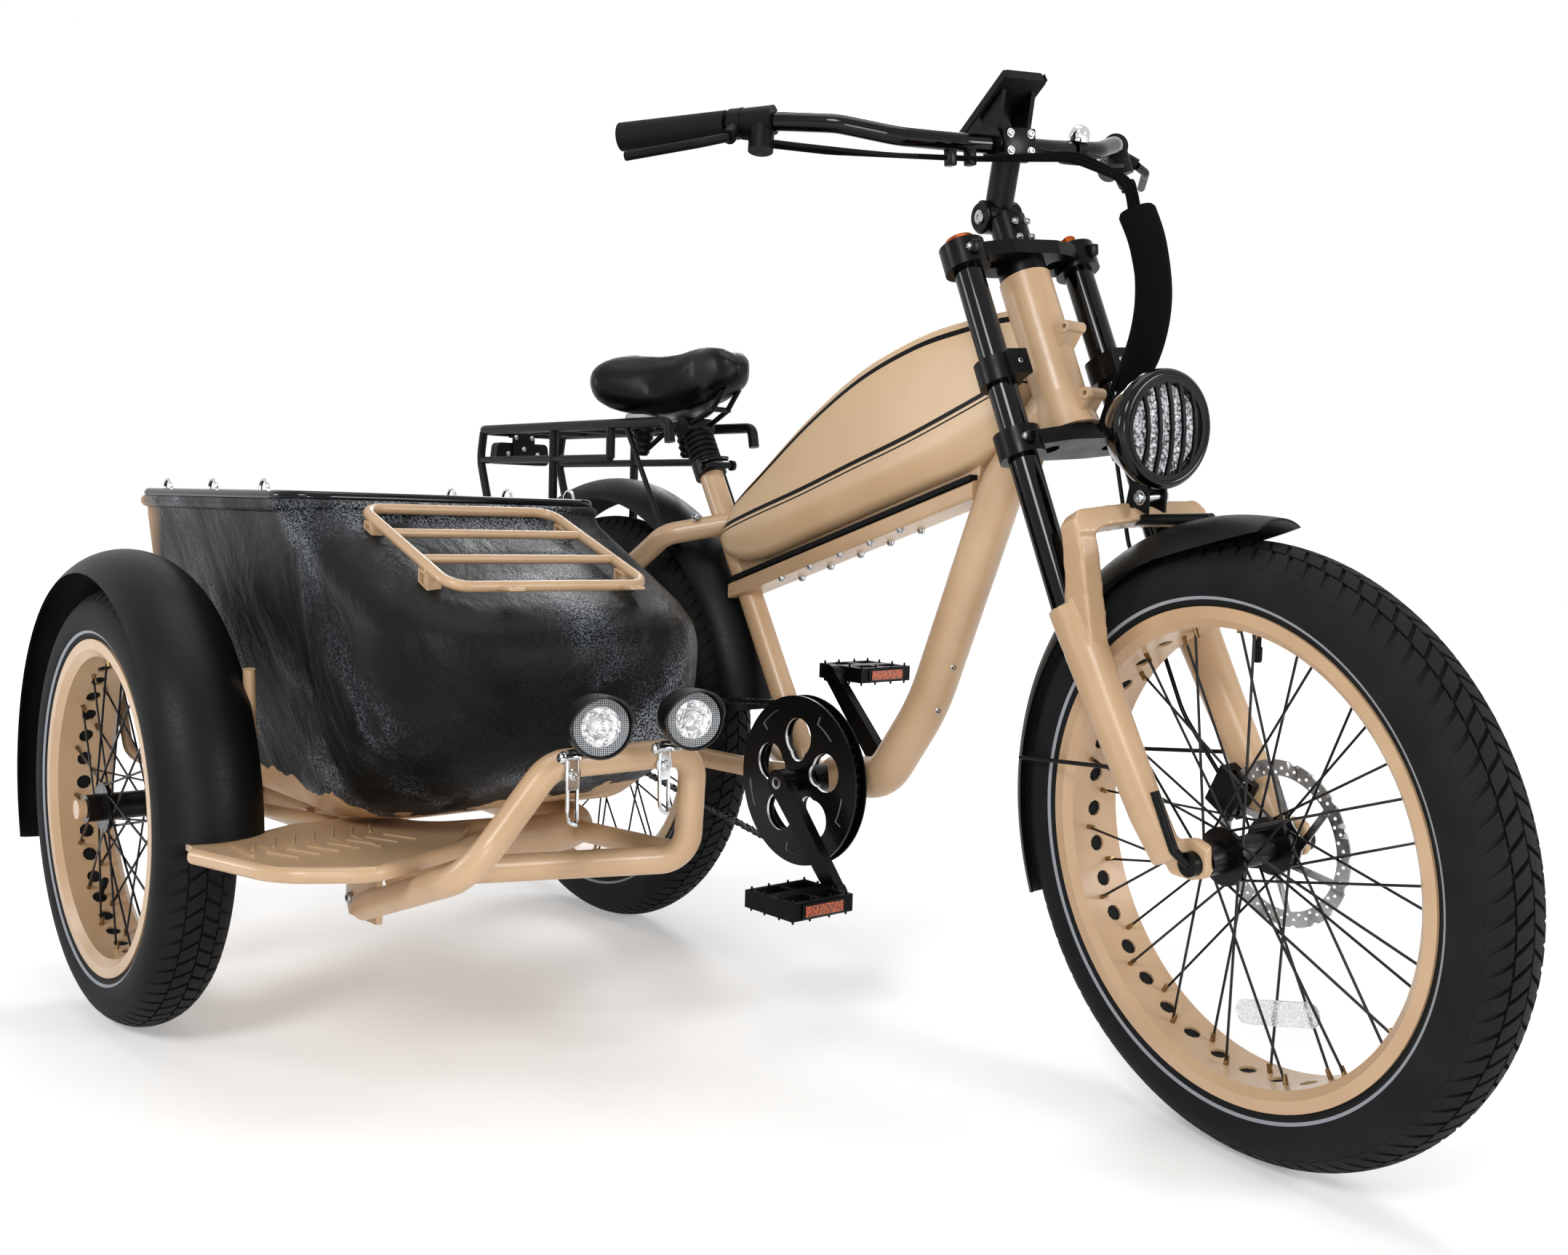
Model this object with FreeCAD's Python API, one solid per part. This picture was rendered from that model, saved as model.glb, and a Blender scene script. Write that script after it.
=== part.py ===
import FreeCAD, Part
import math
import os

os.makedirs("parts", exist_ok=True)
V = FreeCAD.Vector

# Electric bicycle with a sidecar on its right. Millimetres, +X forward, +Y left, +Z up.
# The sizes below are measured from the bicycle's mid-plane (y = 0) and from the front
# axle as it stands when the bars are straight (x = 0). The ground is z = 0.
# Every piece is moved at the end, so that the origin is the middle of the footprint.
ORIGIN_X = -608.0
ORIGIN_Y = -215.0

# Wheels
WHEEL_R = 327.0             # 24 x 3.0 tyre
SIDE_WHEEL_R = 276.0        # 20 x 3.0 tyre
WHEELBASE = 1198.0
SIDE_X = -1100.0
SIDE_Y = -800.0
TYRE_DEPTH = 66.0           # from the rim's edge to the tread
TYRE_HALF = 47.0            # half of the tyre's width
RIM_HALF = 41.0             # half of the rim's width
RIM_FLANGE = 3.0
RIM_WELL = 19.0             # depth of the rim's channel below its edge
RIM_HOLES = 36
RIM_HOLE_R = 9.5
SPOKES = 36
SPOKE_R = 1.5
SPOKE_CROSS = 3.0
SPOKE_GAP = 0.25            # so that the spokes end against the rim and not in it
HUB_R = 17.0
HUB_FLANGE_R = 31.0
HUB_FLANGE_Y = 34.0
HUB_HALF = 64.0             # half of the hub's length
AXLE_R = 6.0
BEARING_GAP = 0.05          # running gap on the radius
MOTOR_R = 62.0
ROTOR_R = 90.0
ROTOR_Y = 50.0
ROTOR_T = 2.0

# Steering
HEAD_ANGLE = 66.5
FORK_OFFSET = 72.0
STEER_REST = -11.9          # the bars rest turned to the right
HEAD_LOW = 513.0            # along the steering axis, from the foot of the axle's offset
HEAD_TOP = 712.0
HEAD_R = 31.0
HEAD_BORE_R = 23.0
STEERER_R = 15.0
STEERER_TOP = 800.0
SEAT_GAP = 0.3              # between faces that turn past each other
STANCHION_R = 17.5
STANCHION_Y = 83.0
STANCHION_OFF = 3.5
CROWN_LOW = 498.0
CROWN_TOP = 737.0
CROWN_T = 18.0
CROWN_R = 27.0
LEG_TOP = 303.0
ARCH_T = 379.0
STEM_PIVOT_T = 806.0
STEM_PIVOT_OFF = -15.0
BAR_R = 11.0
GRIP_R = 17.0
GRIP_L = 136.0
FENDER_T = 2.5
FRONT_FENDER_R = 352.0
FRONT_FENDER_HALF = 50.0

# Bicycle frame
BB_X = -658.0
BB_Z = 306.0
BB_R = 28.0
BB_HALF = 48.0
DOWN_R = 28.0
SEAT_R = 18.0
STAY_R = 16.0
CHAINSTAY_R = 14.0
REAR_DROP_Y = 76.0
SEAT_L = 506.0              # length of the seat tube
POST_R = 13.6
POST_LOW = SEAT_L - 106.0   # the post's lower end, along the seat tube
POST_TOP = SEAT_L + 62.0
BOSS_AT = (541.0, 626.0)    # bosses on the head tube, along the steering axis
BOSS_HOLE_R = 3.0
DROPOUT_T = 8.0
TANK_HALF = 46.0
TANK_STEPS = 5              # points on each quarter of the tank's sections
RACK_R = 8.0
RACK_Z = 795.0
RACK_FRONT = -950.0
RACK_REAR = -1512.0
RACK_LOW_Z = 743.0
RACK_HALF = 80.0

# Cranks and chain
CRANK_L = 172.0
CRANK_ANGLE = -47.0
CRANK_Y = 98.0
CRANK_T = 14.0
SPINDLE_R = 15.0
CHAIN_Y = -58.0
RING_R = 104.0
GUARD_R = 115.0
GUARD_T = 3.5
GUARD_GAP = 11.0            # from the chain's middle to the outer guard's face
LOBE_R = 26.0
LOBE_AT = 59.0              # the lobed windows' distance from the spindle
COG_R = 36.0
PEDAL_W = 92.0
PEDAL_LEN = 100.0
PEDAL_T = 22.0
PEDAL_GAP = 8.0
PEDAL_PIN_R = 7.0

# Sidecar
POD_Y = -470.0
POD_HALF = 220.0
POD_TOP = 662.0
POD_WALL = 5.0
POD_BOTTOM = 290.0
POD_REAR = -1395.0
POD_STEPS = 6               # flats on each corner of the tub
CHASSIS_R = 24.0
CHASSIS_Z = 262.0
BUMPER_R = 16.0
BUMPER_X = -500.0
BUMPER_TOP_Z = 392.0
STEP_Z = 286.0              # top of the step board
STEP_T = 8.0
STEP_R = 9.0
SIDE_FENDER_R = 322.0
SIDE_FENDER_HALF = 58.0
LUGGAGE_R = 6.5

HA = math.radians(HEAD_ANGLE)
STEER_UP = V(-math.cos(HA), 0, math.sin(HA))
STEER_FWD = V(math.sin(HA), 0, math.cos(HA))
FRONT_AXLE = V(0, 0, WHEEL_R)
STEER_FOOT = FRONT_AXLE - STEER_FWD * FORK_OFFSET
REAR_AXLE = V(-WHEELBASE, 0, WHEEL_R)
SIDE_AXLE = V(SIDE_X, SIDE_Y, SIDE_WHEEL_R)
BB = V(BB_X, 0, BB_Z)
SEAT_FOOT = V(-709, 0, 300)
SEAT_UP = (V(-954, 0, 722) - SEAT_FOOT).normalize()
Y_AXIS = V(0, 1, 0)
Z_AXIS = V(0, 0, 1)


# Small helpers

def save(name, *shapes):
    """Moves the solids to the model's origin and writes them as one piece."""
    solids = [s for shape in shapes for s in shape.Solids]
    whole = solids[0] if len(solids) == 1 else Part.makeCompound(solids)
    whole = whole.copy()
    whole.translate(V(-ORIGIN_X, -ORIGIN_Y, 0))
    whole.exportStep("parts/" + name + ".step")
    box = whole.BoundBox
    print(name, len(solids), "solids, x", round(box.XMin), round(box.XMax),
          "y", round(box.YMin), round(box.YMax), "z", round(box.ZMin), round(box.ZMax))
    if not whole.isValid():
        print("  not valid:", name)


def fork_point(off, along, y=0.0):
    """A point by its distance ahead of the steering axis and along it."""
    p = STEER_FOOT + STEER_FWD * off + STEER_UP * along
    return V(p.x, y, p.z)


def steered(shape):
    """Turns a piece of the fork to where the bars rest."""
    return shape.copy().rotate(STEER_FOOT, STEER_UP, STEER_REST)


def rod(a, b, r):
    return Part.makeCylinder(r, (b - a).Length, a, b - a)


def bent_path(points, bend):
    """A line through the points with round bends."""
    edges = []
    last = points[0]
    for i in range(1, len(points) - 1):
        before = (points[i - 1] - points[i]).normalize()
        after = (points[i + 1] - points[i]).normalize()
        turn = math.pi - before.getAngle(after)
        r = bend[i - 1] if isinstance(bend, (list, tuple)) else bend
        back = r * math.tan(turn / 2)
        start = points[i] + before * back
        end = points[i] + after * back
        inward = (before + after).normalize()
        middle = points[i] + inward * (r / math.cos(turn / 2) - r)
        if (start - last).Length > 1e-4:
            edges.append(Part.LineSegment(last, start).toShape())
        edges.append(Part.Arc(start, middle, end).toShape())
        last = end
    edges.append(Part.LineSegment(last, points[-1]).toShape())
    return Part.Wire(edges)


def tube(points, r, bend=60.0):
    """A round bar or tube along a bent line, built as one solid."""
    if len(points) == 2:
        return rod(points[0], points[1], r)
    path = bent_path(points, bend)
    start = Part.Circle(points[0], points[1] - points[0], r).toShape()
    return outward(path.makePipeShell([Part.Wire([start])], True, False))


def loop_tube(points, r, bend):
    """A closed tube through the points, which starts in the middle of its last side."""
    start = (points[0] + points[-1]) * 0.5
    half = tube([start] + points + [start], r, bend)
    return half


def polygon(points):
    return Part.Face(Part.makePolygon(points + [points[0]]))


def outward(solid):
    """The same solid with its faces turned outwards."""
    if solid.Volume < 0:
        solid.reverse()
    return solid


def loft(wires, solid, ruled):
    return outward(Part.makeLoft(wires, solid, ruled))


def prism(points, run):
    """A flat outline drawn out along a line."""
    return outward(polygon(points).extrude(run))


def rounded(points, radii):
    """A closed flat outline with a round at each corner."""
    n = len(points)
    edges = []
    arcs = []
    for i in range(n):
        p = points[i]
        before = (points[i - 1] - p).normalize()
        after = (points[(i + 1) % n] - p).normalize()
        turn = math.pi - before.getAngle(after)
        r = radii[i] if isinstance(radii, (list, tuple)) else radii
        back = r * math.tan(turn / 2)
        inward = (before + after).normalize()
        arcs.append((p + before * back, p + inward * (r / math.cos(turn / 2) - r), p + after * back))
    for i in range(n):
        a, m, b = arcs[i]
        edges.append(Part.Arc(a, m, b).toShape())
        nxt = arcs[(i + 1) % n][0]
        if (nxt - b).Length > 1e-4:
            edges.append(Part.LineSegment(b, nxt).toShape())
    return Part.Wire(edges)


def plate_y(points, y, thick, radii=3.0):
    """A plate of an (x, z) outline, from y to y + thick."""
    wire = rounded([V(x, y, z) for x, z in points], radii)
    return outward(Part.Face(wire).extrude(V(0, thick, 0)))


def wheel_revolve(profile, centre):
    """Turns an outline of (y, radius) points about a wheel's axle."""
    points = [V(centre.x, centre.y + y, centre.z + r) for y, r in profile]
    return outward(polygon(points).revolve(centre, Y_AXIS, 360))


def ring_y(centre, r_out, r_in, y0, y1):
    at = V(centre.x, centre.y + y0, centre.z)
    outer = Part.makeCylinder(r_out, y1 - y0, at, Y_AXIS)
    return outer.cut(Part.makeCylinder(r_in, y1 - y0, at, Y_AXIS))


def around(shape, centre, count, start=0.0):
    """Copies a shape evenly about a wheel's axle."""
    out = []
    for i in range(count):
        out.append(shape.copy().rotate(centre, Y_AXIS, start + 360.0 * i / count))
    return out


def polar_y(centre, r, degrees, y=0.0):
    """A point about a wheel's axle: 0 points forward and 90 points up."""
    a = math.radians(degrees)
    return V(centre.x + r * math.cos(a), centre.y + y, centre.z + r * math.sin(a))


# Wheels

def rim(centre, radius):
    edge = radius - TYRE_DEPTH
    floor = edge - RIM_WELL
    t = RIM_FLANGE
    profile = [(-RIM_HALF, edge), (-RIM_HALF, floor + 6), (-RIM_HALF + 8, floor - t),
               (RIM_HALF - 8, floor - t), (RIM_HALF, floor + 6), (RIM_HALF, edge),
               (RIM_HALF - t, edge), (RIM_HALF - t, floor + 7), (RIM_HALF - 9, floor),
               (-RIM_HALF + 9, floor), (-RIM_HALF + t, floor + 7), (-RIM_HALF + t, edge)]
    body = wheel_revolve(profile, centre)
    low = centre.z + floor - 2.5 * t
    corners = []
    for i in range(10):
        a = math.radians(36 * i)
        corners.append(V(centre.x + RIM_HOLE_R * math.cos(a), centre.y + RIM_HOLE_R * math.sin(a), low))
    hole = prism(corners, V(0, 0, 4 * t))
    return body.cut(Part.makeCompound(around(hole, centre, RIM_HOLES)))


def tyre(centre, radius):
    edge = radius - TYRE_DEPTH
    floor = edge - RIM_WELL
    t = RIM_FLANGE
    half = [(RIM_HALF - t, edge), (TYRE_HALF - 2.0, edge + 14), (TYRE_HALF, edge + 27),
            (TYRE_HALF - 3.0, edge + 41), (TYRE_HALF - 14.0, edge + 56)]
    inner = [(RIM_HALF - t, edge), (RIM_HALF - t, floor + 7), (RIM_HALF - 9, floor)]
    right = [(-y, r) for y, r in half]
    profile = right + [(0, radius)] + half[::-1] + inner[1:] + [(-y, r) for y, r in inner[1:][::-1]]
    return wheel_revolve(profile, centre)


def hex_bar(a, b, r):
    """A six-sided bar from a to b."""
    along = (b - a).normalize()
    side = along.cross(V(0.3, 0.9, 0.2)).normalize()
    up = along.cross(side)
    points = []
    for i in range(6):
        w = math.radians(60 * i)
        points.append(a + side * (r * math.cos(w)) + up * (r * math.sin(w)))
    return prism(points, b - a)


def spokes(centre, radius, flange_r, flange_y):
    """Spokes that leave each hub flange along its tangent and end in the rim's floor."""
    rim_r = radius - TYRE_DEPTH - RIM_WELL - RIM_FLANGE - SPOKE_GAP
    step = 360.0 / SPOKES
    bars = []
    for i in range(SPOKES):
        side = 1 if i % 2 else -1
        lean = 1 if (i // 2) % 2 else -1
        rim_at = step * (i + 0.5)
        hub_at = rim_at + lean * 2 * step * SPOKE_CROSS * 0.92
        a = polar_y(centre, flange_r - 3.0, hub_at, side * (flange_y + lean * 1.6))
        b = polar_y(centre, rim_r, rim_at, side * 11.0)
        bars.append(hex_bar(a, b, SPOKE_R))
    return bars


def hub(centre, flange_r, flange_y, body_r, half):
    """The hub's shell with its two spoke flanges and an open bore."""
    shell = Part.makeCylinder(body_r, 2 * half, V(centre.x, centre.y - half, centre.z), Y_AXIS)
    parts = []
    for side in (-1, 1):
        y = side * flange_y - 2.5
        parts.append(Part.makeCylinder(flange_r, 5.0, V(centre.x, centre.y + y, centre.z), Y_AXIS))
    return shell.multiFuse(parts)


def wheel_core(centre, radius, flange_r, flange_y, body_r, half):
    body = hub(centre, flange_r, flange_y, body_r, half).multiFuse(spokes(centre, radius, flange_r, flange_y))
    bore = Part.makeCylinder(AXLE_R + BEARING_GAP, 2 * half + 2, V(centre.x, centre.y - half - 1, centre.z), Y_AXIS)
    return body.cut(bore)


def rotor(centre, y):
    """A brake disc with a wavy edge, a ring of holes and six swept arms."""
    disc = Part.makeCylinder(ROTOR_R, ROTOR_T, V(centre.x, centre.y + y, centre.z), Y_AXIS)
    gap = ROTOR_R - 17.0
    window = ring_y(centre, gap, 27.0, y - 1, y + ROTOR_T + 1)
    arms = []
    for i in range(6):
        a = polar_y(centre, 24.0, 60 * i, y)
        b = polar_y(centre, gap + 4, 60 * i + 38, y)
        flat = (b - a).normalize().cross(Y_AXIS) * 4.0
        arms.append(prism([a - flat, a + flat, b + flat, b - flat], V(0, ROTOR_T, 0)))
    disc = disc.cut(window).multiFuse(arms)
    notch = Part.makeCylinder(6.0, ROTOR_T + 2, polar_y(centre, ROTOR_R + 3.5, 0, y - 1), Y_AXIS)
    bore = Part.makeCylinder(HUB_R, ROTOR_T + 2, V(centre.x, centre.y + y - 1, centre.z), Y_AXIS)
    return disc.cut(Part.makeCompound(around(notch, centre, 18) + [bore]))


def front_wheel():
    save("front_tyre", steered(tyre(FRONT_AXLE, WHEEL_R)))
    save("front_rim", steered(rim(FRONT_AXLE, WHEEL_R)))
    core = wheel_core(FRONT_AXLE, WHEEL_R, HUB_FLANGE_R, HUB_FLANGE_Y, HUB_R, HUB_HALF)
    save("front_hub_spokes", steered(core))
    save("front_rotor", steered(rotor(FRONT_AXLE, ROTOR_Y)))


def rear_wheel():
    save("rear_tyre", tyre(REAR_AXLE, WHEEL_R))
    save("rear_rim", rim(REAR_AXLE, WHEEL_R))
    core = wheel_core(REAR_AXLE, WHEEL_R, MOTOR_R, HUB_FLANGE_Y - 6, HUB_R, HUB_HALF + 2)
    drum = ring_y(REAR_AXLE, MOTOR_R - 6, HUB_R - 1, -HUB_FLANGE_Y + 6, HUB_FLANGE_Y - 6)
    cog = ring_y(REAR_AXLE, COG_R - 4, HUB_R - 1, CHAIN_Y - 3, CHAIN_Y + 3)
    save("rear_hub_spokes", core.multiFuse([drum, cog]))
    save("rear_rotor", rotor(REAR_AXLE, ROTOR_Y))


def side_wheel():
    save("side_tyre", tyre(SIDE_AXLE, SIDE_WHEEL_R))
    save("side_rim", rim(SIDE_AXLE, SIDE_WHEEL_R))
    save("side_hub_spokes", wheel_core(SIDE_AXLE, SIDE_WHEEL_R, HUB_FLANGE_R, HUB_FLANGE_Y - 4, HUB_R, 52.0))


# Bicycle frame

def head_tube():
    low = fork_point(0, HEAD_LOW)
    body = Part.makeCylinder(HEAD_R, HEAD_TOP - HEAD_LOW, low, STEER_UP)
    flare = Part.makeCone(HEAD_R + 5, HEAD_R, 45, low, STEER_UP)
    return body.fuse(flare)


def head_boss(along):
    """An arm on the front of the head tube with a hole across it."""
    out = HEAD_R + 14.0
    hub_c = fork_point(out, along, -16)
    arm = Part.makeCylinder(7.0, 32, hub_c, Y_AXIS)
    web = prism([fork_point(HEAD_R - 8, along - 22, -14), fork_point(out, along - 7, -14),
                   fork_point(out, along + 7, -14), fork_point(HEAD_R - 8, along + 6, -14)], V(0, 28, 0))
    return arm.fuse(web)


def dropout(y):
    ax, az = REAR_AXLE.x, REAR_AXLE.z
    outline = [(ax - 26, az - 24), (ax + 24, az - 26), (ax + 66, az - 16), (ax + 66, az + 14),
               (ax + 44, az + 62), (ax + 8, az + 62), (ax - 38, az + 44), (ax - 42, az + 16)]
    return plate_y(outline, y, DROPOUT_T, 8.0)


def seat_line(along, y=0.0):
    """A point on the seat tube's axis, by its distance from the tube's foot."""
    p = SEAT_FOOT + SEAT_UP * along
    return V(p.x, y, p.z)


def tank_rail():
    """The tray under the tank, and the narrow spine that the tank sits on."""
    run = V(-474, 0, -151)
    tray = rounded([V(-398, y, z) for y, z in ((-26, 690), (26, 690), (26, 712), (-26, 712))], 4.0)
    spine = polygon([V(-398, y, z) for y, z in ((-13, 711), (13, 711), (13, 745), (-13, 745))])
    return outward(Part.Face(tray).extrude(run)).fuse(outward(spine.extrude(run)))


def frame_tubes():
    below = Part.makeCylinder(HEAD_R + 40, 80, fork_point(0, HEAD_LOW - 80), STEER_UP)
    down = tube([fork_point(-4, HEAD_LOW + 44), V(-372, 0, 708), V(-484, 0, 424), V(-560, 0, 318), BB],
                DOWN_R, [60.0, 300.0, 60.0]).cut(below)
    seat = rod(SEAT_FOOT, seat_line(SEAT_L), SEAT_R)
    shell = Part.makeCylinder(BB_R, 2 * BB_HALF, V(BB.x, -BB_HALF, BB.z), Y_AXIS)
    yoke = tube([BB, V(-742, 0, 300)], 20.0)
    pieces = [seat, shell, yoke]
    for side in (-1, 1):
        stay_y = side * (REAR_DROP_Y + DROPOUT_T / 2)
        pieces.append(tube([V(-730, side * 4, 300), V(-783, side * 30, 300), V(-868, side * 69, 308),
                            V(REAR_AXLE.x + 56, stay_y, 321)], CHAINSTAY_R, [40.0, 40.0]))
        pieces.append(tube([V(-893, 0, 650), V(-962, side * 76, 629), V(REAR_AXLE.x + 123, stay_y, 560),
                            V(REAR_AXLE.x + 24, stay_y, 378)], STAY_R, [40.0, 120.0]))
        pieces.append(dropout(REAR_DROP_Y if side > 0 else -REAR_DROP_Y - DROPOUT_T))
    for along in BOSS_AT:
        pieces.append(head_boss(along))
    body = head_tube().multiFuse([down] + pieces)
    cuts = [Part.makeCylinder(HEAD_BORE_R, HEAD_TOP - HEAD_LOW + 2, fork_point(0, HEAD_LOW - 1), STEER_UP),
            Part.makeCylinder(BB_R - 9, 2 * BB_HALF + 2, V(BB.x, -BB_HALF - 1, BB.z), Y_AXIS),
            Part.makeCylinder(AXLE_R, 200, V(REAR_AXLE.x, -100, REAR_AXLE.z), Y_AXIS),
            rod(seat_line(POST_LOW), seat_line(SEAT_L + 10), POST_R)]
    for along in BOSS_AT:
        cuts.append(Part.makeCylinder(BOSS_HOLE_R, 40, fork_point(HEAD_R + 14, along, -20), Y_AXIS))
    return body.cut(Part.makeCompound(cuts))


def tank_section(x, low, crease, top, half):
    """One cross-section of the tank: a round belly, a crease and a leaning side to a rounded top."""
    upper = half * 0.62
    points = [V(x, 0, low), V(x, half * 0.72, low + 8), V(x, half, low + (crease - low) * 0.5),
              V(x, half * 0.93, crease), V(x, upper + 2, top - 16), V(x, upper * 0.55, top - 3), V(x, 0, top)]
    left = [V(p.x, -p.y, p.z) for p in points[::-1]]
    a = Part.BSplineCurve()
    a.interpolate(points[:4])
    b = Part.BSplineCurve()
    b.interpolate(points[3:])
    c = Part.BSplineCurve()
    c.interpolate(left[:4])
    d = Part.BSplineCurve()
    d.interpolate(left[3:])
    return Part.Wire([a.toShape(), b.toShape(), c.toShape(), d.toShape()])


def tank():
    stations = [(-886, 608, 636, 664, 30), (-862, 594, 646, 690, 42), (-800, 599, 666, 733, TANK_HALF),
                (-700, 631, 697, 803, TANK_HALF), (-600, 663, 731, 859, TANK_HALF),
                (-500, 695, 765, 895, TANK_HALF - 2), (-420, 720, 797, 911, TANK_HALF - 7),
                (-372, 744, 818, 918, TANK_HALF - 12), (-332, 765, 836, 920, TANK_HALF - 16)]
    wires = []
    for station in stations:
        points = []
        for edge in tank_section(*station).OrderedEdges:
            points += edge.discretize(TANK_STEPS)[:-1]
        wires.append(Part.makePolygon(points + [points[0]]))
    body = loft(wires, True, True)
    return body.cut(Part.makeCylinder(HEAD_R, 400, fork_point(0, HEAD_LOW - 60), STEER_UP))


def seat_parts():
    """The clamp on the seat tube, the post and the ribbed boot round it."""
    collar = rod(seat_line(SEAT_L - 22), seat_line(SEAT_L + 2), SEAT_R + 6)
    bolt = rod(seat_line(SEAT_L - 10, -24) + V(22, 0, 6), seat_line(SEAT_L - 10, 24) + V(22, 0, 6), 5)
    save("seat_clamp", collar.fuse(bolt).cut(rod(SEAT_FOOT, seat_line(SEAT_L + 20), SEAT_R)))
    top = seat_line(POST_TOP)
    post = rod(seat_line(POST_LOW), top, POST_R)
    head = Part.makeCylinder(POST_HEAD_R, POST_HEAD_L, V(top.x, -POST_HEAD_L / 2, top.z), Y_AXIS)
    post = post.fuse(head)
    save("seatpost", post)
    boot = rod(seat_line(SEAT_L + 2), seat_line(POST_TOP - 14), 19)
    rings = [rod(seat_line(SEAT_L + 4 + 9 * i), seat_line(SEAT_L + 9 + 9 * i), 23) for i in range(5)]
    save("seatpost_boot", boot.multiFuse(rings).cut(rod(SEAT_FOOT, top, POST_R)))
    return post


# Seat, rack and rear fender

POST_HEAD_R = 11.0
POST_HEAD_L = 44.0
SADDLE_NOSE = -882.0
SADDLE_LEN = 262.0
SADDLE_HALF = 120.0
SPRING_X = -1072.0
SPRING_Y = 42.0
SEAT_SHIFT = SEAT_UP * (SEAT_L - 506.0)      # the saddle below is drawn for this length of seat tube


def saddle():
    """A broad padded saddle: sections from the nose to the rounded back."""
    stations = [(0.0, 14, 862, 890), (0.06, 30, 846, 904), (0.16, 38, 836, 914), (0.32, 44, 826, 910),
                (0.5, 66, 812, 900), (0.68, 98, 806, 900), (0.84, SADDLE_HALF, 812, 904), (0.95, 108, 826, 898),
                (1.0, 92, 844, 886)]
    wires = []
    for share, half, low, high in stations:
        x = SADDLE_NOSE - SADDLE_LEN * share
        middle = (low + high) / 2
        right = [V(x, 0, low), V(x, -half * 0.72, low + 3), V(x, -half * 0.96, (low + middle) / 2), V(x, -half, middle + 4),
                 V(x, -half * 0.9, (middle + high) / 2 + 4), V(x, -half * 0.64, high - 4), V(x, -half * 0.32, high - 1)]
        left = [V(x, -p.y, p.z) for p in right[:0:-1]]
        points = right + [V(x, 0, high)] + left
        wires.append(Part.makePolygon(points + [points[0]]))
    body = loft(wires, True, True)
    body.translate(SEAT_SHIFT)
    return body


def saddle_springs(post, seat):
    """Two conical springs, their rings and the wire rails, joined by the clamp on the post."""
    parts = []
    turns = 5
    low, high = 748.0, 800.0
    top = seat_line(POST_TOP) - SEAT_SHIFT
    for side in (-1, 1):
        y = side * SPRING_Y
        profile = [V(SPRING_X, y, low)]
        for i in range(turns):
            z = low + (high - low) * i / turns
            r = 9.0 + 13.0 * i / turns
            profile.append(V(SPRING_X + r - 2.5, y, z))
            profile.append(V(SPRING_X + r + 1.5, y, z + (high - low) / turns / 2))
        profile += [V(SPRING_X + 22, y, high), V(SPRING_X + 26, y, high), V(SPRING_X + 26, y, high + 10),
                    V(SPRING_X + 22, y, high + 22), V(SPRING_X, y, high + 22)]
        parts.append(outward(polygon(profile).revolve(V(SPRING_X, y, 0), Z_AXIS, 360)))
        parts.append(tube([V(SPRING_X, y, low + 4), V(-1040, side * 28, 780), V(top.x, side * 20, top.z),
                           V(-935, side * 14, 816), V(-905, side * 14, 850)], 4, [10, 12, 12]))
    cross = Part.makeCylinder(POST_HEAD_R + 4, POST_HEAD_L + 8, V(top.x, -POST_HEAD_L / 2 - 4, top.z), Y_AXIS)
    nose = rod(V(-935, -18, 817), V(-935, 18, 817), 4)
    body = parts[0].multiFuse(parts[1:] + [cross, nose])
    body.translate(SEAT_SHIFT)
    return body.cut(post).cut(seat).cut(rod(SEAT_FOOT, seat_line(POST_TOP - 13), 24))


def seat_rack():
    """The tube rack over the rear wheel, on legs from the dropouts and struts from the stays."""
    y = RACK_HALF
    rail = tube([V(RACK_FRONT, -y, RACK_Z - 30), V(RACK_FRONT - 6, -y, RACK_Z), V(RACK_REAR, -y, RACK_Z),
                 V(RACK_REAR, y, RACK_Z), V(RACK_FRONT - 6, y, RACK_Z), V(RACK_FRONT, y, RACK_Z - 30)],
                RACK_R, [14, 24, 24, 14])
    parts = []
    for side in (-1, 1):
        y = side * RACK_HALF
        foot_y = side * (REAR_DROP_Y + DROPOUT_T + RACK_R)
        foot = V(REAR_AXLE.x - 22, foot_y, REAR_AXLE.z + 32)
        parts.append(tube([V(RACK_REAR + 14, y, RACK_Z - 4), V(RACK_REAR + 4, y, 745), V(RACK_REAR + 40, y, 650), foot],
                          RACK_R - 1, [60, 60]))
        parts.append(Part.makeCylinder(10, RACK_R + 6, V(foot.x, side * (REAR_DROP_Y + DROPOUT_T), foot.z), V(0, side, 0)))
        parts.append(rod(V(-1270, y, RACK_Z), V(-1270, y, 640), RACK_R - 1))
        parts.append(rod(V(-1270, y, 652), foot + V(3, 0, 3), RACK_R - 1.5))
        parts.append(rod(V(-1105, y, RACK_Z), V(-1105, y, RACK_LOW_Z), RACK_R - 1))
        parts.append(rod(V(RACK_REAR + 14, y, RACK_LOW_Z), V(-1105, y, RACK_LOW_Z), RACK_R - 2))
        parts.append(rod(V(-1064, y, RACK_Z - 4), V(-968, side * 76, 634), 4))
    for x in (-1130, -1270, -1420):
        parts.append(rod(V(x, -RACK_HALF, RACK_Z), V(x, RACK_HALF, RACK_Z), RACK_R - 2))
    return rail.multiFuse(parts)


def tail_light():
    """The lamp on its plate, which hangs from the rack's rear tube."""
    x = RACK_REAR
    outline = rounded([V(x + 12, y, z) for y, z in ((-55, 738), (55, 738), (50, 776), (-50, 776))], 9)
    lamp = outward(Part.Face(outline).extrude(V(-22, 0, 0)))
    plate = Part.makeBox(3, 44, RACK_Z - 742, V(x + 12, -22, 742))
    clip = Part.makeBox(15, 44, 4, V(x, -22, RACK_Z - RACK_R - 2))
    return lamp.multiFuse([plate, clip])


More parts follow.
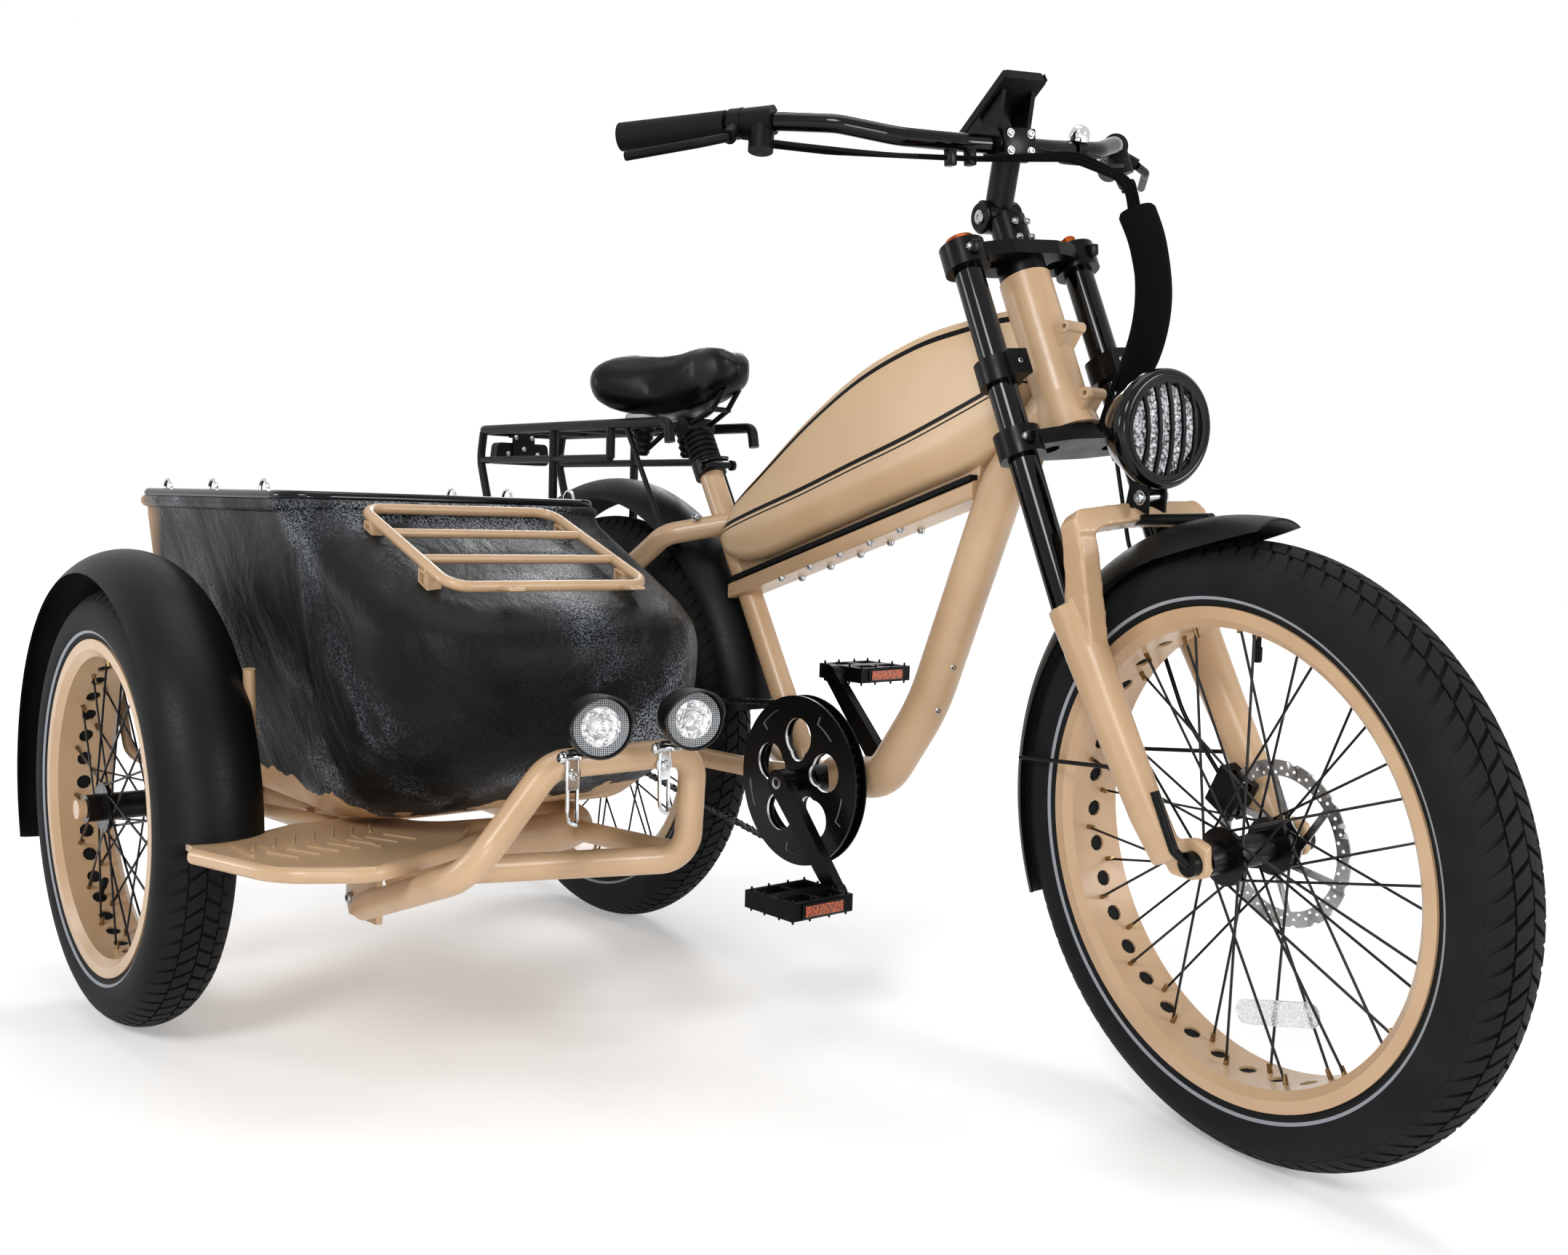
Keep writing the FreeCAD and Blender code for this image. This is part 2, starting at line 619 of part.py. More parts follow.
def fender(centre, radius, half, start, end, edge):
    """A domed mudguard: an arc and a smaller arc under it, turned about the wheel's axle."""
    a = math.radians(start)

    def on(y, r):
        return V(centre.x + r * math.cos(a), centre.y + y, centre.z + r * math.sin(a))
    t = FENDER_T
    outer = Part.Arc(on(-half, radius - edge), on(0, radius), on(half, radius - edge)).toShape()
    inner = Part.Arc(on(half - t, radius - edge), on(0, radius - t), on(t - half, radius - edge)).toShape()
    ends = [Part.LineSegment(on(side * half, radius - edge), on(side * (half - t), radius - edge)).toShape()
            for side in (-1, 1)]
    section = Part.Face(Part.Wire([outer, ends[1], inner, ends[0]]))
    return outward(section.revolve(centre, V(0, -1, 0), end - start))


REAR_FENDER_R = 388.0
REAR_FENDER_HALF = 52.0


def rear_fender():
    """The rear mudguard with a thin stay to the inside of each dropout."""
    guard = fender(REAR_AXLE, REAR_FENDER_R, REAR_FENDER_HALF, 8.0, 150.0, 34.0)
    parts = []
    for side in (-1, 1):
        foot = V(REAR_AXLE.x - 26, side * (REAR_DROP_Y - 3), REAR_AXLE.z + 26)
        parts.append(rod(foot, polar_y(REAR_AXLE, REAR_FENDER_R - 32, 136, side * (REAR_FENDER_HALF - 1.5)), 3))
        parts.append(Part.makeCylinder(7, 5, V(foot.x, side * REAR_DROP_Y, foot.z), V(0, -side, 0)))
        stay = polar_y(REAR_AXLE, REAR_FENDER_R - 22, 52, side * (REAR_FENDER_HALF - 10))
        parts.append(rod(stay, V(stay.x, side * 76, stay.z), 5))
    return guard.multiFuse(parts)


# Chain and cranks

def chain_outline(grow):
    """The chain's loop round the front ring and the rear cog, grown outwards by an amount."""
    r1 = RING_R + grow
    r2 = COG_R + grow
    dx = BB.x - REAR_AXLE.x
    dz = BB.z - REAR_AXLE.z
    dist = math.hypot(dx, dz)
    base = math.atan2(dz, dx)
    lean = math.asin((r1 - r2) / dist)
    up = base + math.pi / 2 + lean
    down = base - math.pi / 2 - lean
    y = CHAIN_Y - 4.0

    def on(c, r, a):
        return V(c.x + r * math.cos(a), y, c.z + r * math.sin(a))
    edges = [Part.LineSegment(on(REAR_AXLE, r2, up), on(BB, r1, up)).toShape(),
             Part.Arc(on(BB, r1, up), on(BB, r1, base), on(BB, r1, down)).toShape(),
             Part.LineSegment(on(BB, r1, down), on(REAR_AXLE, r2, down)).toShape(),
             Part.Arc(on(REAR_AXLE, r2, down), on(REAR_AXLE, r2, base + math.pi), on(REAR_AXLE, r2, up)).toShape()]
    return Part.Face(Part.Wire(edges))


def chain():
    outer = chain_outline(4.5).extrude(V(0, 8, 0))
    inner = chain_outline(-3.5).extrude(V(0, 8, 0))
    return outer.cut(inner)


def chainring():
    """Front ring with a guard on each side. The outer guard has five lobed windows and five slots."""
    guard_y = CHAIN_Y - GUARD_GAP
    far_y = CHAIN_Y + GUARD_GAP - 3.0
    outer = ring_y(BB, GUARD_R, SPINDLE_R, guard_y, guard_y + GUARD_T)
    spider = ring_y(BB, LOBE_AT + 4, SPINDLE_R, guard_y + GUARD_T - 1, CHAIN_Y - 0.5)
    sprocket = ring_y(BB, RING_R - 6, LOBE_AT - 6, CHAIN_Y - 1.5, CHAIN_Y + 1.5)
    back = ring_y(BB, GUARD_R, LOBE_AT + LOBE_R, far_y, far_y + 2)
    posts = []
    windows = []
    for i in range(5):
        a = 72 * i + 90
        posts.append(Part.makeCylinder(3.5, far_y + 1 - guard_y, polar_y(BB, RING_R - 11, a, guard_y), Y_AXIS))
        windows.append(Part.makeCylinder(LOBE_R, 14, polar_y(BB, LOBE_AT, a, guard_y - 1), Y_AXIS))
        windows.append(Part.makeCylinder(LOBE_R - 11, 14, polar_y(BB, LOBE_AT - 18, a, guard_y - 1), Y_AXIS))
        slot = ring_y(BB, RING_R - 3, RING_R - 15, guard_y - 1, guard_y + GUARD_T - 1.5)
        keep = prism([V(BB.x, guard_y - 3, BB.z), polar_y(BB, 150, a + 25, guard_y - 3),
                      polar_y(BB, 150, a + 47, guard_y - 3)], V(0, 10, 0))
        windows.append(slot.common(keep))
    body = outer.multiFuse([spider, sprocket, back] + posts)
    for window in windows:
        body = body.cut(window)
    return body


def crank_arm(side):
    """A tapered arm from the spindle to the pedal's eye."""
    a = math.radians(CRANK_ANGLE if side < 0 else CRANK_ANGLE + 180)
    y_in = side * (CRANK_Y - CRANK_T / 2)
    eye = V(BB.x + CRANK_L * math.cos(a), y_in, BB.z + CRANK_L * math.sin(a))
    root = V(BB.x, y_in, BB.z)
    across = V(-math.sin(a), 0, math.cos(a))
    blade = polygon([root + across * 16, eye + across * 11, eye - across * 11, root - across * 16])
    thick = V(0, side * CRANK_T, 0)
    arm = blade.extrude(thick)
    boss = Part.makeCylinder(18, CRANK_T, root, V(0, side, 0))
    end = Part.makeCylinder(13, CRANK_T, eye, V(0, side, 0))
    return arm.multiFuse([boss, end]), eye


def cranks():
    """Both arms, the spindle between them and the pins that the pedals turn on."""
    right, eye_r = crank_arm(-1)
    left, eye_l = crank_arm(1)
    spindle = Part.makeCylinder(SPINDLE_R, 2 * CRANK_Y - CRANK_T + 1, V(BB.x, -CRANK_Y + CRANK_T / 2 - 0.5, BB.z), Y_AXIS)
    cups = ring_y(BB, BB_R - 9 - BEARING_GAP, 14.0, -BB_HALF, BB_HALF)
    pins = []
    for eye, side in ((eye_r, -1), (eye_l, 1)):
        pins.append(Part.makeCylinder(PEDAL_PIN_R, CRANK_T + PEDAL_GAP + PEDAL_LEN, eye, V(0, side, 0)))
    arms = right.fuse(left)
    save("crankset", spindle.multiFuse([arms, cups] + pins))
    ring = chainring().cut(Part.makeCylinder(SPINDLE_R, 60, V(BB.x, CHAIN_Y - 20, BB.z), Y_AXIS))
    save("chainring", ring)
    for name, eye, side in (("pedal_right", eye_r, -1), ("pedal_left", eye_l, 1)):
        save(name, pedal(eye, side))


def pedal(eye, side):
    """A cage pedal that turns on its pin."""
    y1 = eye.y + side * (CRANK_T + PEDAL_GAP)
    y2 = y1 + side * PEDAL_LEN
    low_y = min(y1, y2)
    core = Part.makeCylinder(11, PEDAL_LEN, V(eye.x, low_y, eye.z), Y_AXIS)
    cage = Part.makeBox(PEDAL_W, PEDAL_LEN, PEDAL_T, V(eye.x - PEDAL_W / 2, low_y, eye.z - PEDAL_T / 2))
    holes = []
    for sx in (-1, 1):
        for k in range(2):
            holes.append(Part.makeBox(26, 36, 30, V(eye.x + sx * 25 - 13, low_y + 10 + 45 * k, eye.z - 15)))
    body = cage.cut(Part.makeCompound(holes)).fuse(core)
    return body.cut(Part.makeCylinder(PEDAL_PIN_R + BEARING_GAP, PEDAL_LEN + 2, V(eye.x, low_y - 1, eye.z), Y_AXIS))


# Fork, bars and lamp

def crown(along, radius):
    """A fork crown: two clamps, a middle boss and the bridge between them."""
    base = along - CROWN_T / 2
    up = STEER_UP * CROWN_T
    clamps = []
    for side in (-1, 1):
        clamps.append(Part.makeCylinder(radius, CROWN_T + 14, fork_point(STANCHION_OFF, base - 7, side * STANCHION_Y), STEER_UP))
    front = 36.0
    back = -24.0
    y = STANCHION_Y
    bridge = rounded([fork_point(STANCHION_OFF + 20, base, -y), fork_point(front, base, -34), fork_point(front, base, 34),
                      fork_point(STANCHION_OFF + 20, base, y), fork_point(STANCHION_OFF - 20, base, y),
                      fork_point(back, base, 30), fork_point(back, base, -30), fork_point(STANCHION_OFF - 20, base, -y)],
                     [2, 14, 14, 2, 2, 14, 14, 2])
    body = outward(Part.Face(bridge).extrude(up)).multiFuse(clamps)
    windows = []
    for side in (-1, 1):
        windows.append(Part.makeCylinder(10, CROWN_T + 2, fork_point(STANCHION_OFF + 5, base - 1, side * 44), STEER_UP))
    cut = windows
    for side in (-1, 1):
        cut.append(Part.makeCylinder(STANCHION_R, CROWN_T + 20, fork_point(STANCHION_OFF, base - 8, side * STANCHION_Y), STEER_UP))
    cut.append(Part.makeCylinder(STEERER_R, CROWN_T + 2, fork_point(0, base - 1), STEER_UP))
    return body.cut(Part.makeCompound(cut))


def fork_parts(legs):
    crowns = crown(CROWN_LOW, CROWN_R).fuse(crown(CROWN_TOP, CROWN_R))
    low = CROWN_LOW - CROWN_T / 2
    steerer = Part.makeCylinder(STEERER_R, STEERER_TOP - low, fork_point(0, low), STEER_UP)
    seats = []
    for low, high in ((CROWN_LOW + CROWN_T / 2, HEAD_LOW - SEAT_GAP), (HEAD_TOP + SEAT_GAP, CROWN_TOP - CROWN_T / 2)):
        seats.append(Part.makeCylinder(HEAD_R - 2, high - low, fork_point(0, low), STEER_UP))
    for low in (HEAD_LOW, HEAD_TOP - 12):
        seats.append(Part.makeCylinder(HEAD_BORE_R - BEARING_GAP, 12, fork_point(0, low), STEER_UP))
    crowns = crowns.multiFuse([steerer] + seats)
    save("fork_crowns", steered(crowns))
    tubes = []
    collars = []
    for side in (-1, 1):
        y = side * STANCHION_Y
        low = fork_point(STANCHION_OFF, LEG_TOP - 60, y)
        tubes.append(Part.makeCylinder(STANCHION_R, CROWN_TOP + CROWN_T / 2 + 8 - (LEG_TOP - 60), low, STEER_UP))
        collar = Part.makeCylinder(STANCHION_R + 8, 30, fork_point(STANCHION_OFF, 573, y), STEER_UP)
        block = prism([fork_point(STANCHION_OFF + 2, 573, side * 88), fork_point(STANCHION_OFF + 2, 573, side * 62),
                         fork_point(STANCHION_OFF + 34, 573, side * 62),
                         fork_point(STANCHION_OFF + 34, 573, side * 88)], STEER_UP * 30)
        collars.append(collar.fuse(block).cut(Part.makeCylinder(STANCHION_R, 60, fork_point(STANCHION_OFF, 560, y), STEER_UP)))
    save("fork_stanchions", *[steered(t) for t in tubes])
    save("fork_collars", *[steered(c) for c in collars])
    save("fork_legs", steered(legs))
    axle = Part.makeCylinder(AXLE_R, 172, V(0, -86, WHEEL_R), Y_AXIS)
    nut = Part.makeCylinder(14, 10, V(0, 76.5, WHEEL_R), Y_AXIS)
    head = Part.makeCylinder(13, 10, V(0, -86.5, WHEEL_R), Y_AXIS)
    lever = tube([V(0, -84, WHEEL_R), V(-10, -94, WHEEL_R + 14), V(-34, -97, WHEEL_R + 72)], 5, 8)
    axle = axle.multiFuse([nut, head, lever]).cut(legs)
    save("front_axle", steered(max(axle.Solids, key=lambda solid: solid.Volume)))
    return crowns


def leg_section(off, along, y, depth, width):
    """A flattened round section of a fork leg."""
    centre = fork_point(off, along, y)
    e = Part.Ellipse(centre + STEER_FWD * depth, centre + Y_AXIS * width, centre)
    return Part.Wire([e.toShape()])


def fork_legs():
    """Tan lower legs with a high arch over the wheel and a hooked end for the axle."""
    halves = []
    for side in (-1, 1):
        y = side * STANCHION_Y
        leg = loft([leg_section(8, LEG_TOP, y, 28, 22), leg_section(14, LEG_TOP - 50, y, 27, 23),
                             leg_section(22, 170, y, 24, 21), leg_section(34, 60, y, 22, 18),
                             leg_section(42, 8, side * 80, 20, 15)], True, True)
        ax, az = FRONT_AXLE.x, FRONT_AXLE.z
        hook_y = 66.5 if side > 0 else -76.5
        hook = plate_y([(ax - 46, az + 14), (ax - 38, az - 20), (ax - 6, az - 20), (ax + 18, az - 12), (ax + 18, az + 22),
                        (ax - 2, az + 26)], hook_y, 10, 9.0)
        halves += [leg, hook]
    out = STANCHION_Y + 13
    for side in (-1, 1):
        y = side * out if side < 0 else side * (STANCHION_Y - 13)
        upright = [(-4, 282), (14, 248), (40, 252), (66, ARCH_T - 36), (72, ARCH_T + 14), (46, ARCH_T + 14),
                   (38, ARCH_T - 16), (24, 322)]
        halves.append(prism([fork_point(off, along, y) for off, along in upright], V(0, 26, 0)))
    corner = 12.0
    bar = [(-out, ARCH_T - 14), (-out, ARCH_T + 14 - corner), (-out + corner, ARCH_T + 14), (0, ARCH_T + 18),
           (out - corner, ARCH_T + 14), (out, ARCH_T + 14 - corner), (out, ARCH_T - 14), (out - 26, ARCH_T - 14),
           (out - 38, ARCH_T - 8), (0, ARCH_T - 5), (38 - out, ARCH_T - 8), (26 - out, ARCH_T - 14)]
    beam = prism([fork_point(46, along, y) for y, along in bar], STEER_FWD * 26)
    shoulder = prism([fork_point(40, along, y) for y, along in ((-out - 2, ARCH_T + 16), (-out - 2, ARCH_T + 14 - corner),
                                                              (-out + corner, ARCH_T + 16))], STEER_FWD * 40)
    body = halves[0].multiFuse(halves[1:] + [beam]).cut(shoulder).cut(shoulder.mirror(V(0, 0, 0), Y_AXIS))
    cut = [Part.makeCylinder(AXLE_R, 200, V(0, -100, WHEEL_R), Y_AXIS)]
    for side in (-1, 1):
        cut.append(Part.makeCylinder(STANCHION_R, 100, fork_point(STANCHION_OFF, LEG_TOP - 60, side * STANCHION_Y), STEER_UP))
    return body.cut(Part.makeCompound(cut))


def front_fender(legs):
    """The front mudguard, whose sides run out towards its tip, with its bracket and two stays."""
    guard = fender(FRONT_AXLE, FRONT_FENDER_R, FRONT_FENDER_HALF, 83.0, 200.0, 36.0)
    low = FRONT_FENDER_R - 40
    tip = prism([polar_y(FRONT_AXLE, r, a, -60) for r, a in ((low, 108), (low + 5, 106), (FRONT_FENDER_R - 9, 82),
                                                             (low, 78))], V(0, 120, 0))
    parts = []
    for side in (-1, 1):
        parts.append(rod(fork_point(24, 110, side * 72), polar_y(FRONT_AXLE, FRONT_FENDER_R - 32, 170, side * 49), 2.5))
    parts.append(rod(fork_point(59, ARCH_T, 0), polar_y(FRONT_AXLE, FRONT_FENDER_R - 2, 98, 0), 6))
    return guard.cut(tip).multiFuse(parts).cut(legs)


def caliper(centre, degrees):
    """A brake caliper over the disc's edge, open towards the axle."""
    out = polar_y(V(0, 0, 0), 1.0, degrees)
    across = out.cross(Y_AXIS)
    low, high, half = ROTOR_R - 26, ROTOR_R + 14, 24.0

    def block(r0, r1, y0, y1, w):
        base = centre + V(0, y0, 0)
        pts = [base + out * r0 - across * w, base + out * r1 - across * w, base + out * r1 + across * w,
               base + out * r0 + across * w]
        return prism(pts, V(0, y1 - y0, 0))
    body = block(low, high, ROTOR_Y - 9, ROTOR_Y + 14, half)
    return body.cut(block(low - 5, ROTOR_R + 3, ROTOR_Y - 2, ROTOR_Y + ROTOR_T + 2, half + 5)), block


HOSE_Y = 58.0
HOSE_R = 2.5


def front_caliper(legs, crowns):
    """The caliper on the left leg, and its hose, which runs up behind the leg to the lower crown."""
    body, block = caliper(FRONT_AXLE, 150.0)
    arm = block(ROTOR_R - 8, ROTOR_R + 12, ROTOR_Y + 14, ROTOR_Y + 30, 16.0)
    hose = tube([polar_y(FRONT_AXLE, ROTOR_R + 6, 152, HOSE_Y), fork_point(-20, 170, HOSE_Y), fork_point(-24, 380, HOSE_Y),
                 fork_point(-8, CROWN_LOW - CROWN_T / 2 + 1, HOSE_Y + 8)], HOSE_R, [90, 90])
    return body.fuse(arm).cut(legs).fuse(hose).cut(crowns)


def rear_caliper():
    body, block = caliper(REAR_AXLE, 40.0)
    arm = block(46.0, ROTOR_R - 8, ROTOR_Y + 8, REAR_DROP_Y, 12.0)
    return body.fuse(arm)


BAR_POINTS = [(-375, 0, 1112), (-377, 60, 1112), (-390, 150, 1117), (-425, 210, 1134), (-475, 256, 1143),
              (-528, 301, 1146), (-632, 386, 1147)]


def handlebar():
    right = [V(x, -y, z) for x, y, z in BAR_POINTS[::-1]]
    left = [V(x, y, z) for x, y, z in BAR_POINTS[1:]]
    return tube(right + left, BAR_R, [60, 60, 60, 60, 60, 400, 60, 60, 60, 60, 60])


def bar_end(side):
    a = V(BAR_POINTS[-1][0], side * BAR_POINTS[-1][1], BAR_POINTS[-1][2])
    b = V(BAR_POINTS[-2][0], side * BAR_POINTS[-2][1], BAR_POINTS[-2][2])
    return a, (b - a).normalize()


def bar_parts():
    bar = handlebar()
    save("handlebar", steered(bar))
    grips = []
    controls = []
    for side in (-1, 1):
        end, inward = bar_end(side)
        grips.append(rod(end - inward * 4, end + inward * GRIP_L, GRIP_R).cut(bar))
        down = V(0, 0, -1)
        ahead = inward.cross(down)
        if ahead.x < 0:
            ahead = ahead * -1
        clamp = rod(end + inward * (GRIP_L + 6), end + inward * (GRIP_L + 22), 18)
        root = end + inward * (GRIP_L + 14) + ahead * 30 + down * 20
        body = rod(end + inward * (GRIP_L + 14) + ahead * 8 + down * 6, root, 9)
        blade = tube([root, root - inward * 30 + ahead * 14 + down * 6, root - inward * 128 + ahead * 14 + down * 12],
                     5.5, 30)
        pod_at = end + inward * (GRIP_L + 20)
        pod = rod(pod_at, pod_at + inward * 40, 17)
        knob = rod(pod_at + inward * 25, pod_at + inward * 25 + down * 36 + ahead * 10, 15)
        controls.append(clamp.multiFuse([body, blade, pod, knob]).cut(bar))
    save("grips", *[steered(g) for g in grips])
    save("bar_controls", *[steered(x) for x in controls])
    return bar, controls


def stem_parts(bar):
    top = fork_point(0, CROWN_TOP + CROWN_T / 2 + 0.5)
    clamp = Part.makeCylinder(22, 46, top, STEER_UP)
    pivot = fork_point(STEM_PIVOT_OFF, STEM_PIVOT_T)
    knuckle = Part.makeCylinder(20, 46, V(pivot.x, -23, pivot.z), Y_AXIS)
    neck = rod(fork_point(-4, CROWN_TOP + 40), pivot, 17)
    bar_c = V(BAR_POINTS[0][0], 0, BAR_POINTS[0][2])
    arm = rod(pivot, bar_c, 17)
    jaw = Part.makeCylinder(19, 52, V(bar_c.x, -26, bar_c.z), Y_AXIS)
    body = clamp.multiFuse([knuckle, neck, arm, jaw])
    return body.cut(Part.makeCylinder(STEERER_R, STEERER_TOP - CROWN_TOP, fork_point(0, CROWN_TOP), STEER_UP)).cut(bar)


def display(stem):
    """The screen stands on a post from the bar's clamp and leans towards the rider."""
    lean = math.radians(31)
    fwd = V(math.cos(lean), 0, math.sin(lean))
    up = V(-math.sin(lean), 0, math.cos(lean))
    centre = V(-382, 0, 1154)
    p = centre - fwd * 52 - V(0, 30, 0)
    wire = rounded([p, p + fwd * 104, p + fwd * 104 + V(0, 60, 0), p + V(0, 60, 0)], 6)
    plate = outward(Part.Face(wire).extrude(up * 12))
    arms = []
    for side in (-1, 1):
        arms.append(prism([V(-386, side * 22 - 3, 1124), V(-366, side * 22 - 3, 1124), V(-352, side * 22 - 3, 1176),
                           V(-398, side * 22 - 3, 1149)], V(0, 6, 0)))
    return plate.multiFuse(arms).cut(stem)


SLEEVE_R = 15.0
CABLE_R = 2.8
LAMP_OFF = 140.0
LAMP_T = 452.0
LAMP_R = 65.0
SLAT_PITCH = 17.0


def headlight(legs):
    """A round bucket with a bezel, between two bracket plates from the fork's arch, behind flat slats."""
    c = fork_point(LAMP_OFF, LAMP_T)
    fwd = V(1, 0, -0.03).normalize()
    up = V(0.03, 0, 1).normalize()
    outline = [(-64, 0), (-64, 26), (-58, 37), (-40, 48), (-16, LAMP_R - 5), (-9, LAMP_R - 4), (-8, LAMP_R), (4, LAMP_R),
               (8, LAMP_R - 4), (8, LAMP_R - 10), (-4, LAMP_R - 10), (-4, 0)]
    body = outward(polygon([c + fwd * a + up * r for a, r in outline]).revolve(c, fwd, 360))
    plates = []
    for y in (-15, 11):
        plates.append(prism([c + V(-32, y, -44), c + V(-8, y, -54), c + V(-10, y, -92), fork_point(76, ARCH_T + 10, y),
                             fork_point(60, ARCH_T + 10, y)], V(0, 4, 0)))
    bolt = Part.makeCylinder(5, 38, c + V(-18, -19, -74), Y_AXIS)
    body = body.multiFuse(plates + [bolt])
    lens = Part.makeCylinder(LAMP_R - 10, 5, c - fwd * 4, fwd)
    save("headlight", steered(body.cut(legs)))
    slats = []
    for i in range(-2, 3):
        y = i * SLAT_PITCH
        h = math.sqrt((LAMP_R - 12) ** 2 - y * y)
        outline = [(2, -h), (9, -h * 0.5), (11, 0), (9, h * 0.5), (2, h), (6, h), (13, h * 0.5), (15, 0), (13, -h * 0.5), (6, -h)]
        slats.append(prism([c + fwd * a + up * b + V(0, y - 2, 0) for a, b in outline], V(0, 4, 0)))
    hoop = ring_x(c + fwd * 1, LAMP_R - 10, LAMP_R - 15, fwd, 6)
    save("headlight_grille", steered(hoop.multiFuse(slats)))
    save("headlight_lens", steered(lens))


def ring_x(centre, r_out, r_in, axis, thick):
    return Part.makeCylinder(r_out, thick, centre, axis).cut(Part.makeCylinder(r_in, thick, centre, axis))


def cable_sleeve(bar, controls, crowns):
    """The sleeve that gathers the bar's cables, the cables themselves and their ends at the lower crown."""
    top = V(-203, 42, 1012)
    sleeve = tube([top, V(-172, 41, 912), V(-214, 32, 812)], SLEEVE_R, [160])
    parts = []
    for i, y in enumerate((36, 42, 48)):
        z = top.z - 20
        parts.append(tube([V(-520 + 4 * i, -300, 1126), V(-440, -215 + 5 * i, 1104), V(-350 + 3 * i, -70, 1088),
                           V(-270, 6 + 5 * i, 1078 + 4 * i), V(-212, y, 1046), V(-201, y, z)],
                          CABLE_R, [60, 120, 60, 40]))
    for i, y in enumerate((38, 46)):
        z = top.z - 22
        parts.append(tube([V(-520 - 8 * i, 298, 1126), V(-430, 236 - 10 * i, 1082), V(-320, 130, 1056 + 8 * i), V(-226, y + 14, 1050),
                           V(-199, y, z)], CABLE_R, [60, 90, 40]))
    for y, along in ((16, -6), (30, 0), (44, 6)):
        end = fork_point(34, CROWN_LOW, y * 0.8)
        parts.append(tube([V(-207, y, 832), V(-232, y * 0.9, 788 + along), end], CABLE_R + 0.5, 30))
    cables = sleeve.multiFuse(parts).cut([bar, crowns] + controls)
    return max(cables.Solids, key=lambda solid: solid.Volume)


# Sidecar

LAMP_BODY_R = 34.0
DECK_LOW_Z = 552.0
LOOP_R = 2.3
DECK_WALL = 3.5             # extra drop of the wall below the sloping deck


def pod_level(z, front, rear, half, corner, inset):
    """One level of the tub, seen from above, inset by the wall where it is the inside."""
    y = half - inset
    points = []
    for sx, sy in ((1, -1), (1, 1), (-1, 1), (-1, -1)):
        r = max((corner if sx > 0 else corner * 0.6) - inset, 8)
        x = front - inset if sx > 0 else rear + inset
        middle = V(x - sx * r, POD_Y + sy * (y - r), z)
        quarter = {(1, -1): -90, (1, 1): 0, (-1, 1): 90, (-1, -1): 180}[(sx, sy)]
        for i in range(POD_STEPS + 1):
            a = math.radians(quarter + 90.0 * i / POD_STEPS)
            points.append(middle + V(r * math.cos(a), r * math.sin(a), 0))
    return Part.makePolygon(points + [points[0]])


def pod_shape(inset):
    """The tub's solid, or the solid of its hollow where it is inset by the wall."""
    levels = [(POD_BOTTOM, -790, -1352, 172, 70), (297, -745, -1360, 186, 86), (312, -700, -1367, 198, 98),
              (340, -640, -1375, 208, 112), (385, -590, -1381, 215, 124), (440, -568, -1387, 219, 130),
              (500, -563, -1390, POD_HALF, 130), (530, -577, -1392, POD_HALF, 128), (DECK_LOW_Z, -612, -1393, POD_HALF, 120),
              (576, -672, POD_REAR, POD_HALF, 104), (640, -836, POD_REAR, POD_HALF, 56), (POD_TOP, -862, POD_REAR, POD_HALF, 50)]
    wires = []
    for z, front, rear, half, corner in levels:
        up = POD_WALL if inset and z == POD_BOTTOM else 0.0
        down = DECK_WALL if inset and DECK_LOW_Z <= z < POD_TOP else 0.0
        top = 2.0 if inset and z == POD_TOP else 0.0
        wires.append(pod_level(z + up - down + top, front, rear, half, corner, inset))
    return loft(wires, True, True)


def pod(outer):
    return outer.cut(pod_shape(POD_WALL))


def pod_rim():
    front, rear = -866.0, POD_REAR
    y = POD_HALF - POD_WALL / 2
    pts = [V(front - POD_WALL, POD_Y - y, POD_TOP + 7), V(front - POD_WALL, POD_Y + y, POD_TOP + 7),
           V(rear + POD_WALL / 2, POD_Y + y, POD_TOP + 7), V(rear + POD_WALL / 2, POD_Y - y, POD_TOP + 7)]
    bead = loop_tube(pts, 7.0, [48, 48, 30, 30])
    return bead


def pod_loops(rim):
    """Three eyes on each side of the tub's edge, bent from six-sided rod."""
    loops = []
    y = POD_HALF - POD_WALL / 2
    for x in (-1290, -1120, -950):
        for side in (-1, 1):
            at = V(x, POD_Y + side * y, POD_TOP + 14)
            section = []
            for i in range(6):
                a = math.radians(60 * i)
                section.append(V(at.x + 12 + LOOP_R * math.cos(a), at.y + LOOP_R * math.sin(a), at.z))
            face = polygon(section)
            bow = outward(face.revolve(at, V(0, -1, 0), 180))
            legs = []
            for dx in (0, -24):
                leg = face.copy()
                leg.translate(V(dx, 0, -5))
                legs.append(outward(leg.extrude(V(0, 0, 5.5))))
            loops.append(bow.multiFuse(legs).cut(rim))
    return loops


def pod_latch(outer, rim):
    body = Part.makeBox(18, 34, 52, V(POD_REAR - 14, POD_Y - POD_HALF + 46, POD_TOP - 66))
    hook = Part.makeCylinder(9, 34, V(POD_REAR - 12, POD_Y - POD_HALF + 46, POD_TOP - 8), Y_AXIS)
    return body.fuse(hook).cut(outer).cut(rim)


